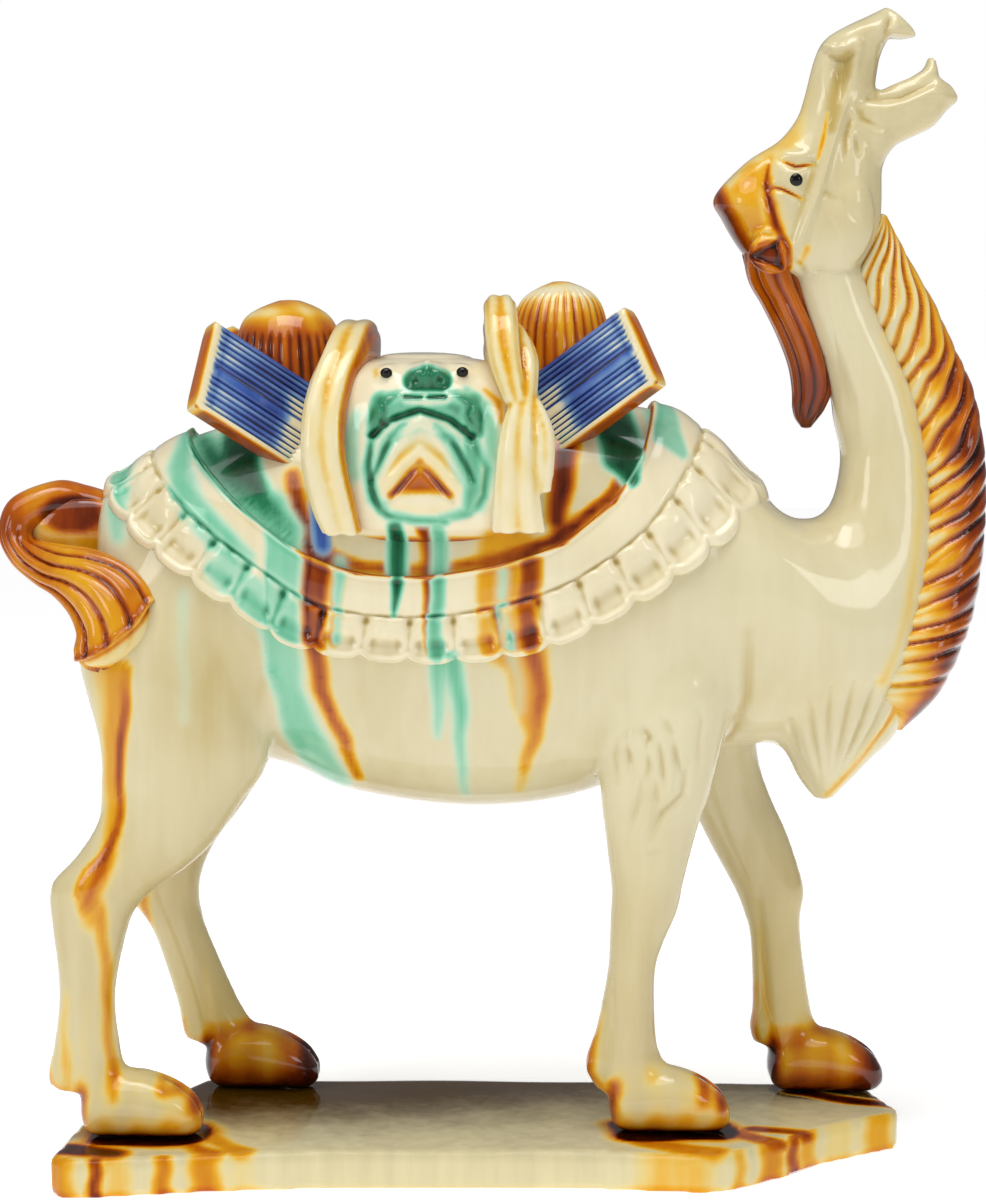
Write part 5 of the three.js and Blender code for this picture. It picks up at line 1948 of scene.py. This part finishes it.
@dataclass(frozen=True)
class Hanks:
    """Two folded hanks of banded cloth over the bag, the front one twisted at its top."""

    voxel: float = 0.95
    rear: Rows = (
        (-57.5, 251, -49, 253, 7.5, -57.5), (-62.5, 262, -52, 262, 8.4, -60.5),
        (-65, 280, -52, 280, 8.4, -64), (-62, 297, -49, 294, 8.2, -64), (-55, 311, -44, 304, 8.2, -61.5),
        (-44, 323.5, -36, 308, 8.4, -57.5), (-30, 331, -22, 311, 8.6, -55),
        (-12, 333.5, -10, 312, 8.8, -54), (0, 334, 0, 312, 8.8, -54),
    )
    front: Rows = (
        (-58, 252, -49, 253, 10.4, 9.8), (-63.5, 262, -52, 262, 9.2, 9.2), (-64.5, 280, -52, 280, 7.6, 9),
        (-63, 292, -50, 290, 6.6, 9.8), (-60, 301, -47, 297, 5.4, 11), (-56, 310, -42, 304, 5.6, 11.5),
        (-49, 320, -38, 309, 6.4, 11), (-38, 329, -28, 312, 7, 8), (-20, 335, -14, 313, 7, 4),
        (0, 337, 0, 313, 7, 3),
    )
    lobe: Rows = (
        (-60, 302, -50, 300, 4.2, 8.5), (-59.5, 310, -49, 306, 5.2, 6.5), (-57, 320, -47, 313, 6, 4.4),
        (-52, 330, -43, 320, 6.4, 3.4), (-44, 338, -37, 325, 6.4, 3), (-33, 342.5, -31, 327, 6.2, 2.6),
        (-22, 341, -24, 327, 5.4, 2.6),
    )
    loose_end: Rows = (
        (-61.5, 268, -55, 268, 2.6, 19.2), (-63.5, 278, -55, 278, 3.5, 19.6),
        (-63, 288, -54, 288, 3.7, 19.6), (-61, 296, -52, 294, 3, 18.2), (-58, 302, -50, 300, 2, 16),
    )

    def build(self, finish: Finish) -> None:
        """Models and glazes both hanks."""
        self._hank("rear_hank", (self.rear,), finish, 3)
        self._hank("front_hank", (self.front, self.lobe, self.loose_end), finish, 4)

    def _hank(self, name: str, strands: tuple[Rows, ...], finish: Finish, bands: int) -> None:
        """Models and glazes one hank.

        Args:
            name: The piece's name.
            strands: Rows of its strands on the near side.
            finish: The material.
            bands: How many bands run along its strap.
        """

        def relief(points: Array, along: Array, angle: Array) -> Array:
            """Height of the bands along a strap."""
            groove = np.abs(np.sin(bands * np.arcsin(np.clip(np.sin(angle), -1, 1)))) ** 0.4
            return (groove - 0.85) * 1.3 * ease(0.3, -0.3, np.cos(angle)) + 0.2 * ease(0, -0.5, np.cos(angle))

        form = bmesh.new()
        for rows in strands:
            for side in (rows, other_side(rows)):
                strap = Loft(side, square=3.0, bulge=(0.8, 0.8), sides=90, steps=110, across=True)
                strap.skin(form, relief)
        clay = Clay(form).fuse(self.voxel).smooth(2)
        paint = bare(len(clay.points))
        x, y, z = clay.points.T
        inner = ease(0.3, 0.9, clay.normals()[:, 0]) if name == "rear_hank" else 0.0
        paint[AMBER] = 0.14 + 0.08 * ease(262, 330, z) + 0.03 * np.sin(z * 0.21 + x * 0.5) + 0.34 * inner
        if name == "front_hank":
            paint[AMBER] += 0.06 * ease(290, 310, z)
        deepen(paint, clay.hollow(4), gain=0.35, limit=0.6)
        fire(clay, name, finish, paint)


@dataclass(frozen=True)
class Hump:
    """A hump between the boards, with upright ridges."""

    name: str
    rows: Rows
    ridges: int
    depth: float
    face: float
    crown: float
    smooth_from: float

    def build(self, finish: Finish) -> None:
        """Models and glazes the hump.

        Args:
            finish: The material.
        """
        clay = Loft(self.rows, bulge=(0, 0.6), sides=230, steps=44).clay(self._relief)
        top = self.rows[-1][1]
        clay.smooth(12, ease(top - 7, top - 3, clay.points[:, 2]))
        paint = bare(len(clay.points))
        x, y, z = clay.points.T
        crown = ease(top - 15, top - 9, z)
        paint[AMBER] = self.face + (self.crown - self.face) * crown + 0.05 * np.sin(x * 0.4 + y * 0.3)
        deepen(paint, clay.hollow(4), gain=0.4, limit=0.4)
        fire(clay, self.name, finish, paint)

    def _relief(self, points: Array, along: Array, angle: Array) -> Array:
        """Height of the ridges over the plain hump."""
        ridge = np.abs(np.sin(self.ridges * angle / 2 + 0.2 * np.sin(along * 3))) ** 0.3
        return (ridge - 0.95) * self.depth * ease(self.smooth_from + 0.08, self.smooth_from, along)


HUMPS = (
    Hump("rear_hump", (
        (-104, 280, -57, 280, 26), (-104, 305, -57, 305, 25), (-102.5, 323, -59.5, 323, 22.5),
        (-99, 334, -64, 334, 17), (-91, 339.3, -71, 339.3, 10), (-86, 341, -76, 341, 5),
    ), 34, 1.1, 0.70, 0.56, 0.74),
    Hump("front_hump", (
        (5, 280, 49, 280, 26), (5, 312, 49, 312, 25), (7, 330, 46, 330, 22), (11, 341, 42.5, 341, 16),
        (18.5, 346.8, 36, 346.8, 10), (23, 348.4, 31, 348.4, 5),
    ), 30, 1.2, 0.55, 0.46, 0.9),
)


@dataclass(frozen=True)
class Slab:
    """The low slab under the feet, with glaze pooled round them and run over its edge."""

    corners: Places = (
        (-169, -70), (-163, -77), (-150, -76), (-110, -68.5), (-62, -63.5), (0, -63), (42, -65), (80, -70),
        (92, -66.5), (112, -50), (130, -31), (148, -18), (163, -8), (165, 2), (155, 41), (116, 43),
        (54, 46), (-70, 48), (-122, 48), (-131, 29), (-165, -21),
    )
    thickness: float = 14.4
    voxel: float = 2.1
    edge_round: int = 6
    wave: float = 0.25
    spills: tuple[tuple[float, float, float, float, float, float], ...] = (
        (-164, -60, -146, -66, 8, 0.93), (-120, -50, -108, -64, 6, 0.5), (-112, -44, -98, -62, 5, 0.42),
        (60, -50, 84, -62, 8, 0.45), (96, -38, 112, -50, 6, 0.6), (104, -30, 124, -38, 4, 0.72),
        # The last run, from the far fore foot along the back right edge, is partly glaze and partly painted
        # shadow of that foot.
        (126, 26, 164, 5, 4, 0.95),
    )
    runs: tuple[Triple, ...] = (
        (-166, 7, 0.42), (-151, 2.6, 0.74), (-143, 6, 0.24), (-126, 3.6, 0.46), (-110, 6, 0.44),
        (-96, 6, 0.14), (70, 15, 0.26), (95, 3, 0.30), (108, 5, 0.44), (117.5, 2.6, 0.68), (124, 4, 0.36),
        (138, 8, 0.18), (155, 7, 0.34),
    )

    def build(self, finish: Finish, feet: Feet) -> None:
        """Models and glazes the slab.

        Args:
            finish: The material.
            feet: The feet that stand on it.
        """
        form = bmesh.new()
        outline = [form.verts.new((x, y, 0.0)) for x, y in self.corners]
        base = form.faces.new(outline)
        raised = bmesh.ops.extrude_face_region(form, geom=[base])["geom"]
        verts = [item for item in raised if isinstance(item, bmesh.types.BMVert)]
        bmesh.ops.translate(form, verts=verts, vec=(0.0, 0.0, self.thickness))
        clay = Clay(form).fuse(self.voxel)
        clay.smooth(self.edge_round)
        x, y, z = clay.points.T
        wave = self.wave * np.sin(x * 0.07) * np.sin(y * 0.09 + 1) - 0.15
        clay.points[:, 2] = np.clip(z, 0.0, self.thickness) + wave * ease(8, 14, z)
        fire(clay, "slab", finish, self._glaze(clay, feet), Node.PLINTH)

    def _glaze(self, clay: Clay, feet: Feet) -> Paint:
        """Works out the glazes on the slab.

        Args:
            clay: The modelled slab.
            feet: The feet that stand on it.

        Returns:
            Thickness of each glaze, and the painted shade.
        """
        paint = bare(len(clay.points))
        x, y, z = clay.points.T
        top = ease(8.5, 12.5, z)
        ripple = 2.4 * np.sin(x * 0.16 + y * 0.1) + 1.8 * np.sin(y * 0.23 - x * 0.07)
        amber = np.zeros(len(x))
        shade = np.zeros(len(x))
        front = -clay.normals()[:, 1]
        for _ in range(3):
            front = clay.near_mean(front)
        front = ease(0.04, 0.3, front)
        for heel, middle in feet.places:
            ahead = np.maximum(np.abs(x - heel - feet.length * 0.54) - feet.length * 0.48 + 8, 0)
            beside = np.maximum(np.abs(y - middle) - feet.half_width + 6, 0)
            gap = np.hypot(ahead, beside) - 8 + ripple * 0.5
            if middle < 0:
                amber = np.maximum(amber, (0.95 * ease(3, -2, gap) + 0.40 * ease(12, 0, gap)) * top)
            else:
                # Painted shadow round the far feet.
                shade = np.maximum(shade, ease(7, -3, gap) * top)
        for x0, y0, x1, y1, wide, much in self.spills:
            gap, _ = path_distance(x, y, ((x0, y0), (x1, y1)))
            amber = np.maximum(amber, ease(wide + 4, wide * 0.4, gap + ripple * 0.5) * much * top)
        for middle, wide, much in self.runs:
            across = np.abs(x - middle + 0.6 * np.sin(z * 0.5 + middle)) - wide
            amber = np.maximum(amber, ease(1 + wide * 0.6, -1 - wide * 0.6, across) * much * front)
        paint[AMBER] = np.clip(amber + 0.12 * ease(3, 0, z), 0, 0.97)
        # Painted shade: the top darkens towards its back, and the back face is dark.
        behind = ease(-62, 38, y + 0.3 * np.minimum(-x - 40, 0) + ripple)
        paint[HOLLOW] = np.maximum.reduce([top * (0.10 + 0.85 * behind), shade, 0.9 * ease(40, 48, y)])
        deepen(paint, clay.hollow(), limit=0.6, thinning=0.0)
        return paint


@dataclass(frozen=True)
class Studio:
    """Floor, soft lights and the camera of the photograph."""

    focal_pixels: float = 2727.0
    frame_pixels: float = 1200.0
    sensor: float = 36.0
    camera_place: Triple = (0.0, -1.085, 0.3059)
    pitch: float = 4.404
    floor_size: float = 6.0
    world_light: float = 0.24
    sun_light: float = 1.0
    sun_spread: float = 45.0
    floor_glow: float = 0.5
    floor_drop: float = 0.0002
    aim: Triple = (0.0, 0.0, 0.24)
    sun_turn: Place = (22.0, -12.0)
    lamps: tuple[tuple[str, Triple, Place, float], ...] = (
        ("window_left", (-1.3, -1.2, 0.9), (0.5, 0.7), 5.0),
        ("window_right", (1.2, -1.3, 0.9), (0.4, 0.6), 3.0),
        ("overhead", (0.0, -0.3, 1.5), (0.9, 0.5), 7.0),
    )

    def build(self) -> None:
        """Sets up the floor, the lights and the camera."""
        self._floor()
        self._world()
        for lamp in self.lamps:
            self._lamp(*lamp)
        self._sun()
        self._camera()

    def _floor(self) -> None:
        """The plain pale floor."""
        bench = Bench(bpy.data.materials.new("floor"))
        cloud = bench.noise((3.0, 3.0, 3.0), 1.0)
        colour = bench.mixed(cloud, tint(246, 246, 246), tint(250, 250, 250))
        glow = {"Emission Color": tint(255, 255, 255), "Emission Strength": self.floor_glow}
        form = bmesh.new()
        bmesh.ops.create_grid(form, x_segments=1, y_segments=1, size=self.floor_size)
        mesh = bpy.data.meshes.new("floor")
        form.to_mesh(mesh)
        form.free()
        mesh.transform(Matrix.Translation((0, 0, -self.floor_drop)))
        mesh.materials.append(bench.finished({"Base Color": colour, "Roughness": 0.7} | glow))
        floor = bpy.data.objects.new("floor", mesh)
        show(floor)

    def _world(self) -> None:
        """White surroundings, weaker as light than they look."""
        world = bpy.data.worlds.new("studio")
        bench = Bench(world)
        seen = bench.node("ShaderNodeLightPath", {}, {}, "Is Camera Ray")
        light = {"Value": seen, "To Min": self.world_light, "To Max": 1.0}
        strength = bench.node("ShaderNodeMapRange", {}, light)
        white = {"Color": (1.0, 1.0, 1.0, 1.0), "Strength": strength}
        bench.node("ShaderNodeOutputWorld", {}, {"Surface": bench.node("ShaderNodeBackground", {}, white)})
        bpy.context.scene.world = world

    def _lamp(self, name: str, place: Triple, size: Place, power: float) -> None:
        """A soft box that points at the figure.

        Args:
            name: The lamp's name.
            place: Where it stands.
            size: Its width and height.
            power: Its strength in watts.
        """
        lamp = bpy.data.lights.new(name, "AREA")
        lamp.shape = "RECTANGLE"
        lamp.size, lamp.size_y = size
        lamp.energy = power
        holder = bpy.data.objects.new(name, lamp)
        holder.location = place
        aim = Vector(self.aim) - Vector(place)
        holder.rotation_euler = aim.to_track_quat("-Z", "Y").to_euler()
        show(holder)

    def _sun(self) -> None:
        """Even soft light from above, which also keeps the floor pale all over."""
        lamp = bpy.data.lights.new("sky", "SUN")
        lamp.energy = self.sun_light
        lamp.angle = math.radians(self.sun_spread)
        holder = bpy.data.objects.new("sky", lamp)
        holder.rotation_euler = (math.radians(self.sun_turn[0]), math.radians(self.sun_turn[1]), 0.0)
        show(holder)

    def _camera(self) -> None:
        """The camera at the photograph's height, distance and tilt."""
        camera = bpy.data.cameras.new("camera")
        camera.sensor_width = self.sensor
        camera.lens = self.sensor * self.focal_pixels / self.frame_pixels
        camera.clip_start, camera.clip_end = 0.05, 50.0
        holder = bpy.data.objects.new("camera", camera)
        holder.location = self.camera_place
        holder.rotation_euler = (math.radians(90 - self.pitch), 0.0, 0.0)
        show(holder)
        bpy.context.scene.camera = holder
        bpy.context.scene.view_settings.view_transform = "Standard"


def main() -> None:
    """Builds every piece of the camel, its slab and the studio."""
    logging.basicConfig(level=logging.INFO, format="%(message)s")
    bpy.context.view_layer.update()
    body_glaze = ThreeColourGlaze("body_glaze").material()
    load_glaze = ThreeColourGlaze("load_glaze", pale=tint(238, 228, 196)).material()
    # The slab's deep colour is its painted shade at the back and round the far feet.
    slab_colours = {"pale": tint(226, 215, 172), "deep": tint(86, 58, 4)}
    slab_glaze = ThreeColourGlaze("slab_glaze", shade=0.86, mottle=0.2, gloss=0.1, **slab_colours).material()
    black = BlackGlaze("black_glaze").material()
    runs = Runs()
    feet = Feet()
    Trunk().build(body_glaze, runs, feet)
    Head().build(body_glaze, black)
    Mane().build(body_glaze)
    NapeTuft().build(body_glaze)
    Tail().build(body_glaze)
    SaddleCloth().build(load_glaze, runs)
    Bags().build(load_glaze, black, runs)
    for board in BOARDS:
        for way in (-1, 1):
            board.build(load_glaze, way)
    Hanks().build(load_glaze)
    for hump in HUMPS:
        hump.build(load_glaze)
    Slab().build(slab_glaze, feet)
    Studio().build()


if __name__ == "__main__":
    main()
